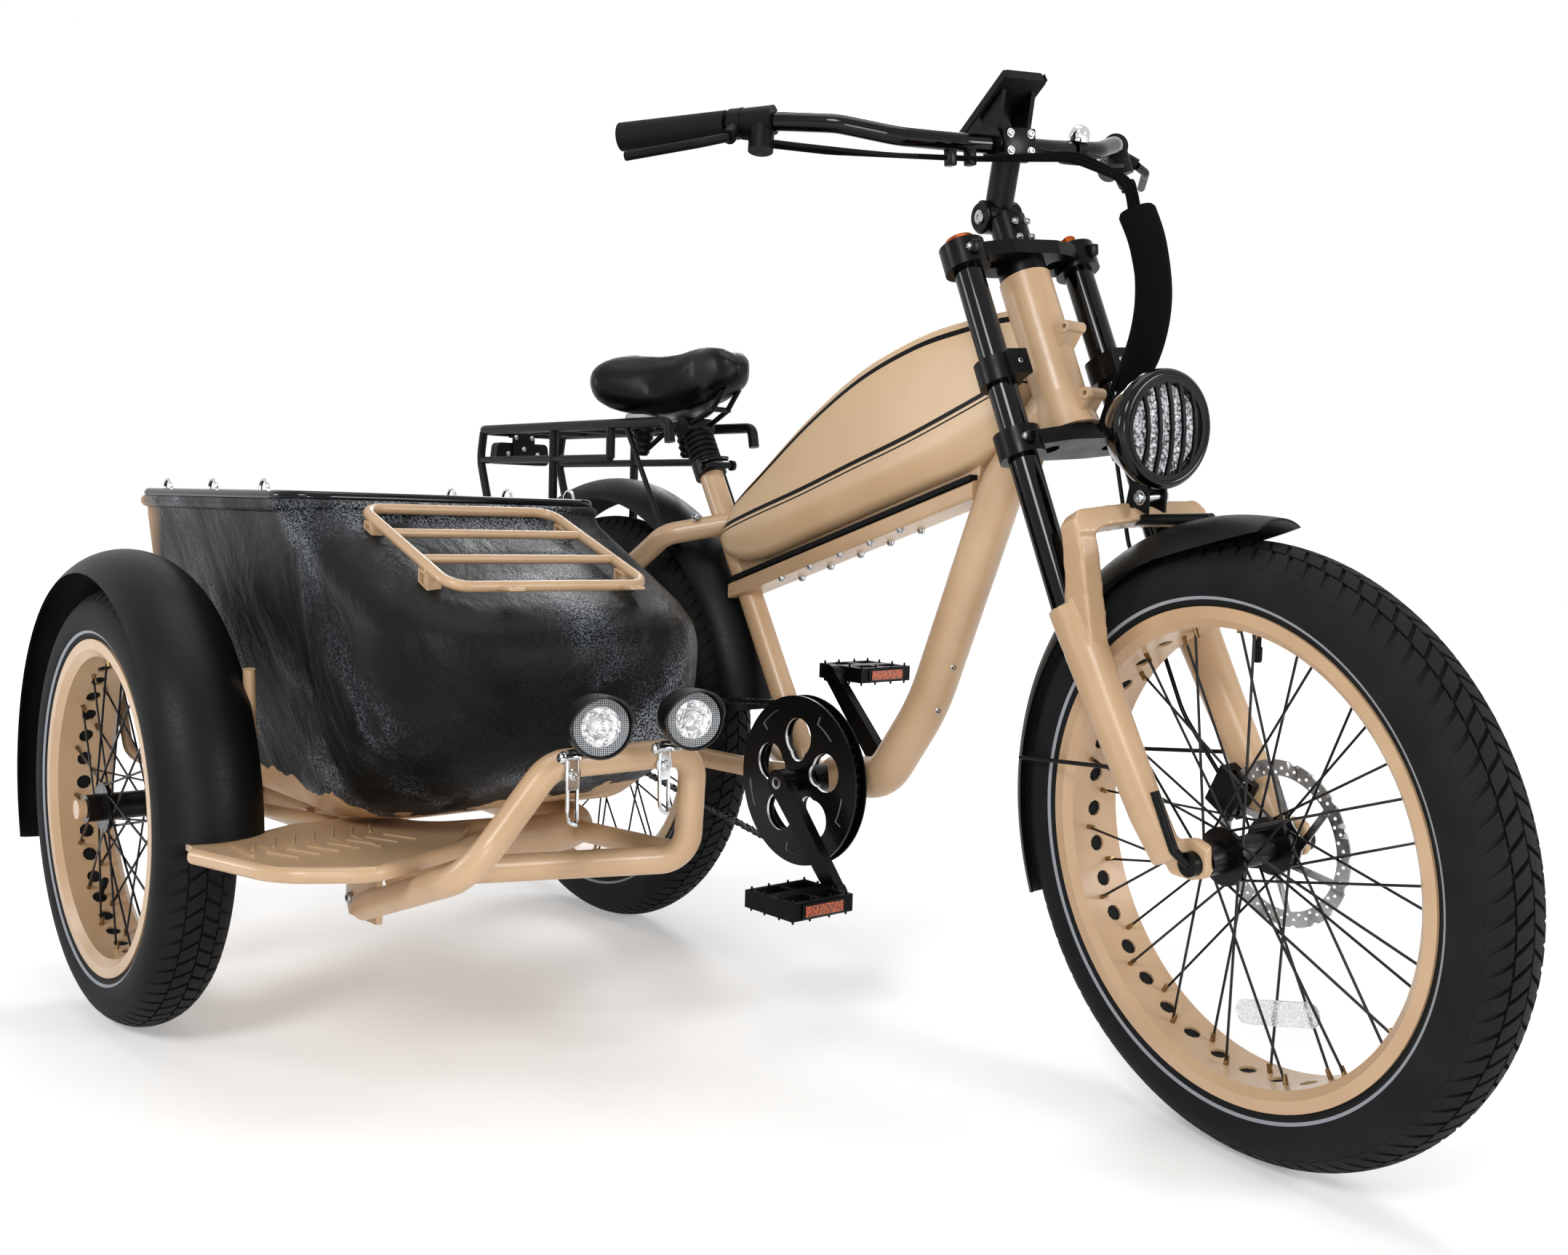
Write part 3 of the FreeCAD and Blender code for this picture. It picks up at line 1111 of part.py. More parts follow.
def luggage_rack(outer, rim):
    """The tan grid over the nose: a loop, two bars, four feet on the deck and two tabs."""
    upper_x, lower_x = -846.0, -622.0
    upper_z, lower_z = 657.0, 575.0
    y0, y1 = POD_Y - 140, POD_Y + 122
    loop = loop_tube([V(upper_x, y0, upper_z), V(upper_x, y1, upper_z), V(lower_x, y1, lower_z), V(lower_x, y0, lower_z)],
                     LUGGAGE_R, 26.0)
    bars = []
    for share in (1 / 3, 2 / 3):
        x = upper_x + (lower_x - upper_x) * share
        z = upper_z + (lower_z - upper_z) * share
        bars.append(rod(V(x, y0, z), V(x, y1, z), LUGGAGE_R - 1))
    for share in (0.16, 0.78):
        x = upper_x + (lower_x - upper_x) * share
        z = upper_z + (lower_z - upper_z) * share
        for y in (y0, y1):
            bars.append(Part.makeCylinder(7, 40, V(x, y, z - 40), Z_AXIS))
    for y in (POD_Y - 70, POD_Y + 92):
        bars.append(plate_z(lower_x, y, lower_z))
    return loop.multiFuse(bars).cut(outer).cut(rim)


def plate_z(x, y, z):
    tab = Part.Face(rounded([V(x - 2, y - 16, z - 2), V(x + 24, y - 10, z - 4), V(x + 24, y + 10, z - 4),
                             V(x - 2, y + 16, z - 2)], 4)).extrude(V(0, 0, 3))
    return tab.cut(Part.makeCylinder(3, 20, V(x + 14, y, z - 12), Z_AXIS))


def chassis(frame, axle, guard):
    """The bent loop under the tub, its cross members and the links to the bicycle."""
    z = CHASSIS_Z
    inner_y = -352.0
    outer_y = -640.0
    rear_x = -1345.0
    outline = [V(-712, inner_y, z), V(-760, outer_y + 60, z), V(rear_x, outer_y, z), V(rear_x, inner_y, z)]
    loop = loop_tube(outline, CHASSIS_R, [60, 70, 60, 60])
    bars = []
    for x in (-960, -1100, -1290):
        bars.append(rod(V(x, outer_y + 10, z), V(x, inner_y, z), 15))
    for x in (-960, -1290):
        for y in (-560, -420):
            bars.append(rod(V(x, y, z), V(x, y, POD_BOTTOM), 9))
    bars.append(tube([V(-960, inner_y, z), V(-950, -170, z), V(-940, -84, 316)], 15, 60))
    bars.append(tube([V(-1330, inner_y, z), V(-1300, -180, z), V(REAR_AXLE.x + 23, -100, 330)], 15, 60))
    bars.append(Part.makeBox(64, 28, 46, V(-972, -110, 289)))
    bars.append(Part.makeCylinder(17, 12, V(REAR_AXLE.x, -108.2, REAR_AXLE.z), Y_AXIS))
    for angle, x in ((38.0, -900.0), (146.0, -1290.0)):
        top = polar_y(SIDE_AXLE, SIDE_FENDER_R - 9, angle, SIDE_FENDER_HALF - 1)
        start = V(x, outer_y + (x - rear_x) * 0.1, z)
        bars.append(tube([start, V((x + top.x) / 2, SIDE_Y + SIDE_FENDER_HALF + 13, z + 40), top], 7, 30))
    return loop.multiFuse(bars).cut(frame).cut(axle).cut(guard)


def sidecar_axle(loop):
    beam = rod(V(SIDE_X, -612, SIDE_WHEEL_R - 8), V(SIDE_X, SIDE_Y + 56, SIDE_WHEEL_R - 2), 14)
    stub = Part.makeCylinder(AXLE_R, 132, V(SIDE_X, SIDE_Y - 60, SIDE_WHEEL_R), Y_AXIS)
    nut = Part.makeCylinder(12, 10, V(SIDE_X, SIDE_Y - 63, SIDE_WHEEL_R), Y_AXIS)
    return beam.multiFuse([stub, nut]).cut(loop)


def bumper(loop_below):
    """One bent tube: up from the hanger plate, across ahead of the tub's nose, down and back again."""
    y_in, y_out = -366.0, -556.0
    low_z = 268.0
    x = BUMPER_X
    foot = V(-735, -655, 203)
    main = tube([foot, V(x - 5, y_out - 92, low_z + 16), V(x, y_out, BUMPER_TOP_Z), V(x, y_in, BUMPER_TOP_Z),
                 V(x, y_in - 6, low_z), V(foot.x, foot.y + 30, foot.z + 33)], BUMPER_R, [60, 45, 30, 36])
    link = rod(V(x - 4, y_in - 12, low_z + 6), V(-728, y_in - 12, CHASSIS_Z), BUMPER_R - 3)
    hanger = Part.makeBox(34, 8, STEP_Z - STEP_T - 2 - foot.z + 20, V(foot.x - 20, foot.y + 8, foot.z - 20))
    post = Part.makeBox(16, 46, 14, V(foot.x - 12, foot.y + 12, STEP_Z - 30))
    body = main.fuse(link).fuse(hanger).fuse(post)
    return body.cut(loop_below)


def step(loop):
    """A board that reaches out ahead of the side wheel, with a round rail along its front edge."""
    z = STEP_Z - STEP_R
    rail = tube([V(-772, -834, z), V(-640, -796, z), V(-588, -712, z), V(-640, -590, z), V(-735, -500, z - 11)],
                STEP_R, [80, 50, 80])
    corners = [(-766, -836), (-640, -797), (-586, -713), (-636, -596), (-720, -530), (-835, -600), (-835, -700),
               (-812, -746), (-808, -832)]
    board = Part.Face(rounded([V(x, y, STEP_Z - STEP_T) for x, y in corners], 6)).extrude(V(0, 0, STEP_T))
    ribs = []
    for i in range(6):
        y = -800 + 26 * i
        ribs.append(Part.makeBox(70, 4, 3, V(-770 + 6 * i, y, STEP_Z - 1)))
    body = rail.multiFuse([board] + ribs).cut(loop)
    return max(body.Solids, key=lambda solid: solid.Volume)


def bullet_lamps(bar):
    """Two bullet lamps turned outwards, each on a slotted silver angle from the bumper's top bar."""
    lamps = []
    brackets = []
    face_x = BUMPER_X + BUMPER_R
    for y in (-540.0, -420.0):
        c = V(-430, y, 440)
        aim = V(math.cos(math.radians(16)), -math.sin(math.radians(16)), 0)
        body = Part.makeCylinder(LAMP_BODY_R, 34, c - aim * 30, aim)
        tail = Part.makeCone(20, LAMP_BODY_R, 34, c - aim * 64, aim)
        lamp = body.fuse(tail)
        lamps.append(lamp)
        foot_z = c.z - LAMP_BODY_R
        upright = Part.makeBox(4, 16, foot_z - BUMPER_TOP_Z + 20, V(face_x, y - 8, BUMPER_TOP_Z - 20))
        slot = Part.makeBox(8, 7, 26, V(face_x - 2, y - 3.5, BUMPER_TOP_Z - 12))
        shelf = Part.makeBox(36, 16, 8, V(face_x, y - 8, foot_z - 4))
        brackets.append(upright.fuse(shelf).cut(slot).cut(lamp).cut(bar))
    save("bullet_lamps", *lamps)
    save("lamp_brackets", *brackets)


def fork_parts_and_bars():
    legs = fork_legs()
    crowns = fork_parts(legs)
    guard = front_fender(legs)
    save("front_fender", steered(guard))
    save("front_caliper", steered(front_caliper(legs, crowns)))
    bar, controls = bar_parts()
    stem = stem_parts(bar)
    save("stem", steered(stem))
    save("display", steered(display(stem)))
    headlight(legs.fuse(guard))
    save("cable_sleeve", steered(cable_sleeve(bar, controls, crowns)))


def build():
    front_wheel()
    rear_wheel()
    side_wheel()
    tank_shell = tank()
    frame = frame_tubes().cut(tank_shell)
    guard = rear_fender()
    rack = seat_rack().cut(frame)
    save("frame_tubes", frame)
    save("tank", tank_shell)
    save("tank_rail", tank_rail().cut(tank_shell).cut(frame))
    post = seat_parts()
    seat = saddle()
    save("saddle", seat)
    save("saddle_springs", saddle_springs(post, seat))
    save("rear_rack", rack)
    save("tail_light", tail_light().cut(rack))
    save("rear_fender", guard.cut(frame))
    axle = Part.makeCylinder(AXLE_R, 196, V(REAR_AXLE.x, -98, REAR_AXLE.z), Y_AXIS)
    nuts = [Part.makeCylinder(13, 10, V(REAR_AXLE.x, y, REAR_AXLE.z), Y_AXIS)
            for y in (-REAR_DROP_Y - DROPOUT_T - 10, REAR_DROP_Y + DROPOUT_T)]
    axle = axle.multiFuse(nuts)
    save("rear_axle", axle)
    save("rear_caliper", rear_caliper().cut(frame))
    save("chain", chain())
    cranks()
    fork_parts_and_bars()
    hull = pod_shape(0.0)
    rim = pod_rim()
    save("pod", pod(hull).cut(rim))
    save("pod_rim", rim)
    save("pod_loops", *pod_loops(rim))
    save("pod_latch", pod_latch(hull, rim))
    save("luggage_rack", luggage_rack(hull, rim))
    side_guard = fender(SIDE_AXLE, SIDE_FENDER_R, SIDE_FENDER_HALF, 2.0, 197.0, 30.0)
    save("sidecar_fender", side_guard)
    loop = chassis(frame, axle, side_guard)
    save("sidecar_chassis", loop)
    save("sidecar_axle", sidecar_axle(loop))
    board = step(loop)
    bar = bumper(loop).cut(board)
    save("bumper", bar)
    save("step", board)
    bullet_lamps(bar)


build()
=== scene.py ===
# %% [markdown]
# # An electric bicycle with a sidecar
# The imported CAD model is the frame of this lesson. Each step below gives one of its pieces
# the finish or the fine shape that the real one has, without changing its size or place.

# %% Load the frame
import math
import bmesh
import bpy
from mathutils import Matrix, Vector


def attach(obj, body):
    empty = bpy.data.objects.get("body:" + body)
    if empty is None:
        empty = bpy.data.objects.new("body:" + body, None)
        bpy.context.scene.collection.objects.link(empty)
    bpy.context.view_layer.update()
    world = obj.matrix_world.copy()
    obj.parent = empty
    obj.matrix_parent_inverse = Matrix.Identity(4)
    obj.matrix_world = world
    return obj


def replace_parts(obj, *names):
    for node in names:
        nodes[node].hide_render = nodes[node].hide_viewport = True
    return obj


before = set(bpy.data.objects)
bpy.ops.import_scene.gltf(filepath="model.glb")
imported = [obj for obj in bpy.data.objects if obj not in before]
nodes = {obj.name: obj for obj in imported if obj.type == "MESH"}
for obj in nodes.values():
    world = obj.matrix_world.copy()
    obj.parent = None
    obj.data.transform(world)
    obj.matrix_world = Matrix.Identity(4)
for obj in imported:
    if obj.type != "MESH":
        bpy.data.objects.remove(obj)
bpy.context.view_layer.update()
scene = bpy.context.scene
scene.view_settings.view_transform = "Standard"
print(len(nodes), "solids in the frame")

# %% [markdown]
# ## Small helpers for materials
# A Blender material is a net of nodes. Short functions keep the net readable. One turns a hex
# colour, as a paint chart gives it, into the linear light values that the renderer wants. One adds
# a node with its settings and links in a single line, and the rest make what most finishes share.

# %% Helpers for materials
def paint(hex_code):
    channels = []
    for i in (0, 2, 4):
        c = int(hex_code[i:i + 2], 16) / 255
        channels.append(c / 12.92 if c <= 0.04045 else ((c + 0.055) / 1.055) ** 2.4)
    return channels + [1.0]


def add(mat, kind, settings=None, **links):
    """Adds a node. Links are socket names with underscores, or i0, i1 for numbered sockets."""
    node = mat.node_tree.nodes.new("ShaderNode" + kind)
    for key, value in (settings or {}).items():
        if key in node.inputs.keys():
            node.inputs[key].default_value = value
        else:
            setattr(node, key, value)
    for key, source in links.items():
        socket = node.inputs[int(key[1:])] if key[1:].isdigit() else node.inputs[key.replace("_", " ")]
        if isinstance(source, (int, float, list, tuple)):
            socket.default_value = source
        else:
            mat.node_tree.links.new(source, socket)
    return node


def new_material(name, colour, roughness, metallic=0.0, **extra):
    mat = bpy.data.materials.new(name)
    mat.use_nodes = True
    shader = mat.node_tree.nodes["Principled BSDF"]
    shader.inputs["Base Color"].default_value = paint(colour)
    shader.inputs["Roughness"].default_value = roughness
    shader.inputs["Metallic"].default_value = metallic
    for key, value in extra.items():
        shader.inputs[key.replace("_", " ")].default_value = value
    return mat, shader


def wire(mat, source, shader, socket):
    mat.node_tree.links.new(source, shader.inputs[socket])


def place(mat):
    return add(mat, "TexCoord").outputs["Object"]


def noise(mat, size_m, detail):
    """Noise whose patches are about this many metres across."""
    return add(mat, "TexNoise", {"Scale": 1.0 / size_m, "Detail": detail}, Vector=place(mat)).outputs["Fac"]


def cell_net(mat, scale):
    """A net of small cells, for prisms, cups and pores."""
    return add(mat, "TexVoronoi", {"Scale": scale, "feature": "F1"}, Vector=place(mat))


def calc(mat, operation, a, b=None):
    """One sum on one or two values of the net."""
    links = {"i0": a} if b is None else {"i0": a, "i1": b}
    return add(mat, "Math", {"operation": operation}, **links).outputs[0]


def band(mat, value, middle, half):
    """1 where the value lies within half a band's width of its middle, or else 0."""
    off = calc(mat, "ABSOLUTE", calc(mat, "SUBTRACT", value, middle))
    return calc(mat, "LESS_THAN", off, half)


def ramp(mat, fac, stops):
    node = add(mat, "ValToRGB", None, Fac=fac)
    elements = node.color_ramp.elements
    while len(elements) < len(stops):
        elements.new(0.5)
    for element, (at, colour) in zip(elements, stops):
        element.position = at
        element.color = paint(colour) if isinstance(colour, str) else [colour, colour, colour, 1]
    return node.outputs["Color"]


def bump(mat, shader, height, distance, strength):
    node = add(mat, "Bump", {"Strength": strength, "Distance": distance}, Height=height)
    wire(mat, node.outputs["Normal"], shader, "Normal")


def vary(mat, shader, socket, size_m, detail, *stops):
    """Noise through a ramp of stops, on one socket of the shader."""
    wire(mat, ramp(mat, noise(mat, size_m, detail), stops), shader, socket)

# %% [markdown]
# ## Powder coat
# The frame, fork legs, rims and the sidecar's tubes carry a sand-coloured polyester powder coat:
# an even satin film over steel and aluminium with a very fine orange peel. The orange peel is
# noise about 1 mm across in the bump, and a slow noise keeps the colour from looking flat.

# %% Powder coat
def powder_coat(name, colour, shade, roughness, coat=0.0, specular=0.5):
    mat, shader = new_material(name, colour, roughness, IOR=1.45, Specular_IOR_Level=specular,
                               Coat_Weight=coat, Coat_Roughness=0.22)
    vary(mat, shader, "Base Color", 0.12, 3, (0.3, colour), (0.75, shade))
    vary(mat, shader, "Roughness", 0.004, 3, (0.3, roughness - 0.05), (0.7, roughness + 0.06))
    bump(mat, shader, noise(mat, 0.0012, 2), 0.0002, 0.25)
    return mat


sand = powder_coat("sand powder coat", "BE9F7D", "AF8F6D", 0.34, 0.2)
black = powder_coat("black powder coat", "040506", "070809", 0.44, specular=0.18)
print("powder coats:", sand.name, black.name)

# %% [markdown]
# ## Black finishes
# The handlebar and the fork's inner tubes are gloss black, the cranks and clamps are anodised
# aluminium, and the switches, lamps and grips are moulded plastic or rubber. They differ in
# gloss far more than in colour, so roughness and grain do the work.

# %% Black finishes
gloss, s = new_material("gloss black enamel", "020203", 0.1, Specular_IOR_Level=0.24)
vary(gloss, s, "Roughness", 0.03, 4, (0.35, 0.07), (0.75, 0.16))

anodised, s = new_material("black anodised aluminium", "040405", 0.3, Specular_IOR_Level=0.14)
vary(anodised, s, "Roughness", 0.02, 4, (0.3, 0.24), (0.75, 0.4))
bump(anodised, s, noise(anodised, 0.0008, 2), 0.0001, 0.3)

plastic, s = new_material("moulded black nylon", "040405", 0.46, Specular_IOR_Level=0.12)
vary(plastic, s, "Roughness", 0.01, 4, (0.3, 0.38), (0.75, 0.56))
bump(plastic, s, noise(plastic, 0.0009, 2), 0.0002, 0.5)

soft, s = new_material("soft black rubber", "050506", 0.66, Specular_IOR_Level=0.14)
vary(soft, s, "Base Color", 0.02, 4, (0.3, "050506"), (0.75, "0A0A0B"))
bump(soft, s, noise(soft, 0.0015, 2), 0.0003, 0.5)

sleeve_cloth, s = new_material("neoprene cable sleeve", "040405", 0.85, Specular_IOR_Level=0.05)
knit = add(sleeve_cloth, "TexWave", {"Scale": 380.0, "Distortion": 1.5, "Detail": 1.0, "bands_direction": "Z"},
           Vector=place(sleeve_cloth))
wire(sleeve_cloth, ramp(sleeve_cloth, knit.outputs["Fac"], [(0.2, "040405"), (0.8, "0B0B0C")]), s, "Base Color")
bump(sleeve_cloth, s, knit.outputs["Fac"], 0.0003, 0.6)

# %% [markdown]
# ## Bare metals and small accents
# Bolts, brake discs and lamp brackets are stainless or plated steel. Metal has no colour of its
# own apart from its tinted reflection, so the base colour is the reflection's and the detail is
# in how rough the surface is. The reflectors are amber plastic with small prisms in them.

# %% Bare metals and small accents
steel, s = new_material("stainless steel", "A9ABAD", 0.28, 1.0)
vary(steel, s, "Roughness", 0.015, 5, (0.3, 0.2), (0.75, 0.38))
chrome, s = new_material("chrome plate", "C9CBCD", 0.08, 1.0)
vary(chrome, s, "Roughness", 0.02, 3, (0.4, 0.05), (0.8, 0.14))
brass, s = new_material("brass nipple", "8E7550", 0.3, 1.0)
vary(brass, s, "Roughness", 0.004, 3, (0.4, 0.24), (0.8, 0.42))
chain_steel, s = new_material("oiled chain steel", "2C2C2D", 0.36, 1.0)
vary(chain_steel, s, "Base Color", 0.006, 4, (0.3, "1B1B1C"), (0.75, "474645"))
spoke_black, s = new_material("black oxide spoke", "08080A", 0.3, 0.5)
vary(spoke_black, s, "Roughness", 0.01, 3, (0.3, 0.22), (0.8, 0.4))
amber, s = new_material("amber reflector", "A8430C", 0.18, IOR=1.49, Coat_Weight=0.5)
prisms = cell_net(amber, 300.0)
wire(amber, ramp(amber, prisms.outputs["Distance"], [(0.2, "C9580F"), (0.7, "6E2706")]), s, "Base Color")
bump(amber, s, prisms.outputs["Distance"], 0.0008, 0.8)
elastomer, s = new_material("pale elastomer ring", "B7B8BA", 0.5)
vary(elastomer, s, "Base Color", 0.01, 3, (0.3, "AEB0B2"), (0.8, "BFC0C2"))

# %% [markdown]
# ## Chainring guard
# The guard's plate is black anodised, and its windows were machined after that, so their walls
# are bright. The wall faces are the ones that look sideways, so the object's own normal picks
# them out, and only inside the guard's rim.

# %% Chainring guard
def at(x, y, z):
    """A point of the bicycle's own measuring frame, in millimetres, as the model has it."""
    return Vector((x + 608, y + 215, z)) / 1000


CRANK_AT = at(-658, 0, 306)
WINDOWS_WITHIN = 0.108  # the windows' outer ends, from the crank's axis
OUTER_FACE_Y = 0.1505   # the guard's outer plate lies to the right of this plane
guard_finish, s = new_material("anodised plate with cut edges", "0E0F11", 0.3, 0.7)
tex = add(guard_finish, "TexCoord")
facing = add(guard_finish, "SeparateXYZ", None, Vector=tex.outputs["Normal"])
spot = add(guard_finish, "SeparateXYZ", None, Vector=tex.outputs["Object"])
dx = calc(guard_finish, "SUBTRACT", spot.outputs["X"], CRANK_AT.x)
dz = calc(guard_finish, "SUBTRACT", spot.outputs["Z"], CRANK_AT.z)
pair = add(guard_finish, "CombineXYZ", None, X=dx, Y=dz)
reach = add(guard_finish, "VectorMath", {"operation": "LENGTH"}, i0=pair.outputs[0])
wall = calc(guard_finish, "LESS_THAN", calc(guard_finish, "ABSOLUTE", facing.outputs["Y"]), 0.5)
inside = calc(guard_finish, "LESS_THAN", reach.outputs["Value"], WINDOWS_WITHIN)
outer_plate = calc(guard_finish, "LESS_THAN", spot.outputs["Y"], OUTER_FACE_Y)
cut = calc(guard_finish, "MULTIPLY", calc(guard_finish, "MULTIPLY", wall, inside), outer_plate)
wire(guard_finish, ramp(guard_finish, cut, [(0.4, "0E0F11"), (0.6, "DADCDD")]), s, "Base Color")

# %% [markdown]
# ## Tyre rubber
# Tyre rubber is a dull dark grey with a little dust on it. Each side wall has one thin
# reflective stripe, which is a band at a fixed distance from the wheel's centre, so it is painted
# by that distance and follows the wheel however the fork is turned.

# %% Tyre rubber
WHEEL_R, SIDE_WHEEL_R = 327, 276
WHEELBASE = 1198
HEAD = math.radians(66.5)
STEER_UP = Vector((-math.cos(HEAD), 0, math.sin(HEAD)))
STEER_FWD = Vector((math.sin(HEAD), 0, math.cos(HEAD)))
AXLE_OFFSET = 72      # the front axle's distance from the steering axis
REST_STEER = -11.9    # the photograph's turn of the fork, in degrees
FOOT = Vector((0, 0, WHEEL_R)) - AXLE_OFFSET * STEER_FWD
TURN = (Matrix.Translation(at(*FOOT)) @ Matrix.Rotation(math.radians(REST_STEER), 4, STEER_UP)
        @ Matrix.Translation(-at(*FOOT)))
STAND = Matrix.Identity(4)
HUBS = {"front": (at(0, 0, WHEEL_R), WHEEL_R / 1000, TURN),
        "rear": (at(-WHEELBASE, 0, WHEEL_R), WHEEL_R / 1000, STAND),
        "side": (at(-1100, -800, SIDE_WHEEL_R), SIDE_WHEEL_R / 1000, STAND)}
# The stripe lies this far inside the tyre's radius and beside its middle, and is twice its half wide.
STRIPE_DEPTH, STRIPE_OUT, STRIPE_HALF = 0.057, 0.0428, 0.0018


def rubber(name, centre, stripe):
    mat, shader = new_material(name, "0E0F10", 0.72, Specular_IOR_Level=0.15)
    away = add(mat, "VectorMath", {"operation": "DISTANCE"}, i0=place(mat), i1=tuple(centre))
    line = band(mat, away.outputs["Value"], stripe, STRIPE_HALF)
    dusty = ramp(mat, noise(mat, 0.05, 5), [(0.3, "0B0C0D"), (0.8, "161718")])
    mix = add(mat, "MixRGB", None, Fac=line, Color1=dusty, Color2=paint("8C9096"))
    wire(mat, mix.outputs[0], shader, "Base Color")
    bump(mat, shader, noise(mat, 0.0016, 2), 0.0002, 0.4)
    return mat


tyre_finish = {}
for name, (centre, radius, turn) in HUBS.items():
    stripe = math.hypot(radius - STRIPE_DEPTH, STRIPE_OUT)
    tyre_finish[name] = rubber(name + " tyre rubber", turn @ centre, stripe)
print("three tyres:", ", ".join(tyre_finish))

# %% [markdown]
# ## Helpers for shapes
# Every fine piece is built with Blender's own mesh operators. These helpers put a block, a peg
# or a turned profile where it belongs, draw a skin over a row of sections by extruding the first
# one again and again, and hang the finished piece on the body it moves with.

# %% Helpers for shapes
def aimed(point, direction):
    """A matrix that stands the Z axis along a direction at a point."""
    turn = Vector(direction).to_track_quat("Z", "Y").to_matrix().to_4x4()
    return Matrix.Translation(point) @ turn


def block(bm, size, matrix):
    grow = Matrix.Diagonal((size[0], size[1], size[2], 1))
    return bmesh.ops.create_cube(bm, size=1.0, matrix=matrix @ grow)["verts"]


def peg(bm, r, depth, matrix, segments=16, r2=None):
    """A cylinder or cone that starts at the matrix's place and goes up its Z axis."""
    lift = Matrix.Translation((0, 0, depth / 2))
    return bmesh.ops.create_cone(bm, cap_ends=True, segments=segments, depth=depth, matrix=matrix @ lift,
                                 radius1=r, radius2=r if r2 is None else r2)["verts"]


def turned(bm, profile, matrix, steps=48, closed=False):
    """Spins a line of (radius, height) points round the matrix's Z axis."""
    verts = [bm.verts.new((r, 0, h)) for r, h in profile]
    edges = [bm.edges.new(pair) for pair in zip(verts, verts[1:])]
    if closed:
        edges.append(bm.edges.new((verts[-1], verts[0])))
    bmesh.ops.spin(bm, geom=verts + edges, cent=(0, 0, 0), axis=(0, 0, 1), angle=math.tau, steps=steps,
                   use_merge=True)
    island = island_of(verts)
    bmesh.ops.remove_doubles(bm, verts=list(island), dist=0.00001)
    bmesh.ops.transform(bm, matrix=matrix, verts=[v for v in island if v.is_valid])


def island_of(verts):
    """All points joined to these ones by edges."""
    island = set(verts)
    front = set(verts)
    while front:
        near = {e.other_vert(v) for v in front for e in v.link_edges} - island
        island |= near
        front = near
    return island


def skin(bm, rings, caps=True):
    """A surface over closed rows of points. Each row is the one before it, extruded and moved."""
    row = [bm.verts.new(p) for p in rings[0]]
    pairs = [(i, (i + 1) % len(row)) for i in range(len(row))]
    edges = [bm.edges.new((row[i], row[j])) for i, j in pairs]
    rows = [row]
    for ring in rings[1:]:
        made = bmesh.ops.extrude_edge_only(bm, edges=edges)["geom"]
        new = {v for v in made if isinstance(v, bmesh.types.BMVert)}
        row = [next(e.other_vert(v) for e in v.link_edges if e.other_vert(v) in new) for v in row]
        for vert, point in zip(row, ring):
            vert.co = point
        edges = [bm.edges.get((row[i], row[j])) for i, j in pairs]
        rows.append(row)
    if caps:
        bm.faces.new(rows[0])
        bm.faces.new(rows[-1])
    return rows


def smooth_line(points, steps=4):
    """More points along a line, so that its turned surface has no corners."""
    out = []
    for i in range(len(points) - 1):
        a, b, c, d = (Vector(points[min(max(i + k, 0), len(points) - 1)]) for k in (-1, 0, 1, 2))
        for s in range(steps):
            t = s / steps
            out.append(0.5 * ((2 * b) + (c - a) * t + (2 * a - 5 * b + 4 * c - d) * t * t
                              + (3 * b - a - 3 * c + d) * t * t * t))
    return out + [Vector(points[-1])]


def smooth_profile(pairs, steps):
    """The same for a profile of pairs."""
    return [(p.x, p.y) for p in smooth_line([(a, b, 0) for a, b in pairs], steps)]


def pipe(bm, points, r, sides=8, steps=4, caps=True):
    """A round wire or tube along a smooth line. Its sections turn with the line and never twist."""
    line = smooth_line(points, steps) if steps > 1 else [Vector(p) for p in points]
    side = None
    rings = []
    for i, point in enumerate(line):
        ahead = (line[min(i + 1, len(line) - 1)] - line[max(i - 1, 0)]).normalized()
        if side is None:
            side = ahead.orthogonal().normalized()
        side = (side - ahead * side.dot(ahead)).normalized()
        other = ahead.cross(side)
        width = r[min(i * len(r) // len(line), len(r) - 1)] if isinstance(r, list) else r
        turns = [math.tau * k / sides for k in range(sides)]
        rings.append([point + width * (math.cos(a) * side + math.sin(a) * other) for a in turns])
    return skin(bm, rings, caps)


def bolt(bm, point, direction, r=0.004, h=0.003):
    """A domed bolt head with a six-sided socket, on a thin washer."""
    seat = aimed(point, direction)
    turned(bm, [(0, 0), (r * 1.25, 0), (r * 1.25, h * 0.2), (r, h * 0.22), (r * 0.96, h * 0.7), (r * 0.7, h),
                (r * 0.46, h), (r * 0.42, h * 0.5), (0, h * 0.5)], seat, 12)


def soften(bm, width, segments, verts=None):
    edges = bm.edges if verts is None else list({e for v in verts for e in v.link_edges})
    bmesh.ops.bevel(bm, geom=list(edges), offset=width, segments=segments, affect="EDGES", profile=0.5,
                    material=-1, clamp_overlap=True)


def soft_block(bm, size, matrix, width, segments):
    """A block with rounded edges."""
    soften(bm, width, segments, block(bm, size, matrix))


def piece(name, bm, mat, body, angle=35, turn=None):
    if turn is not None:
        bmesh.ops.transform(bm, matrix=turn, verts=bm.verts)
    bmesh.ops.recalc_face_normals(bm, faces=bm.faces)
    mesh = bpy.data.meshes.new(name)
    bm.to_mesh(mesh)
    bm.free()
    obj = bpy.data.objects.new(name, mesh)
    scene.collection.objects.link(obj)
    mesh.materials.append(mat)
    mesh.polygons.foreach_set("use_smooth", [True] * len(mesh.polygons))
    mesh.set_sharp_from_angle(angle=math.radians(angle))
    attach(obj, body)
    return obj


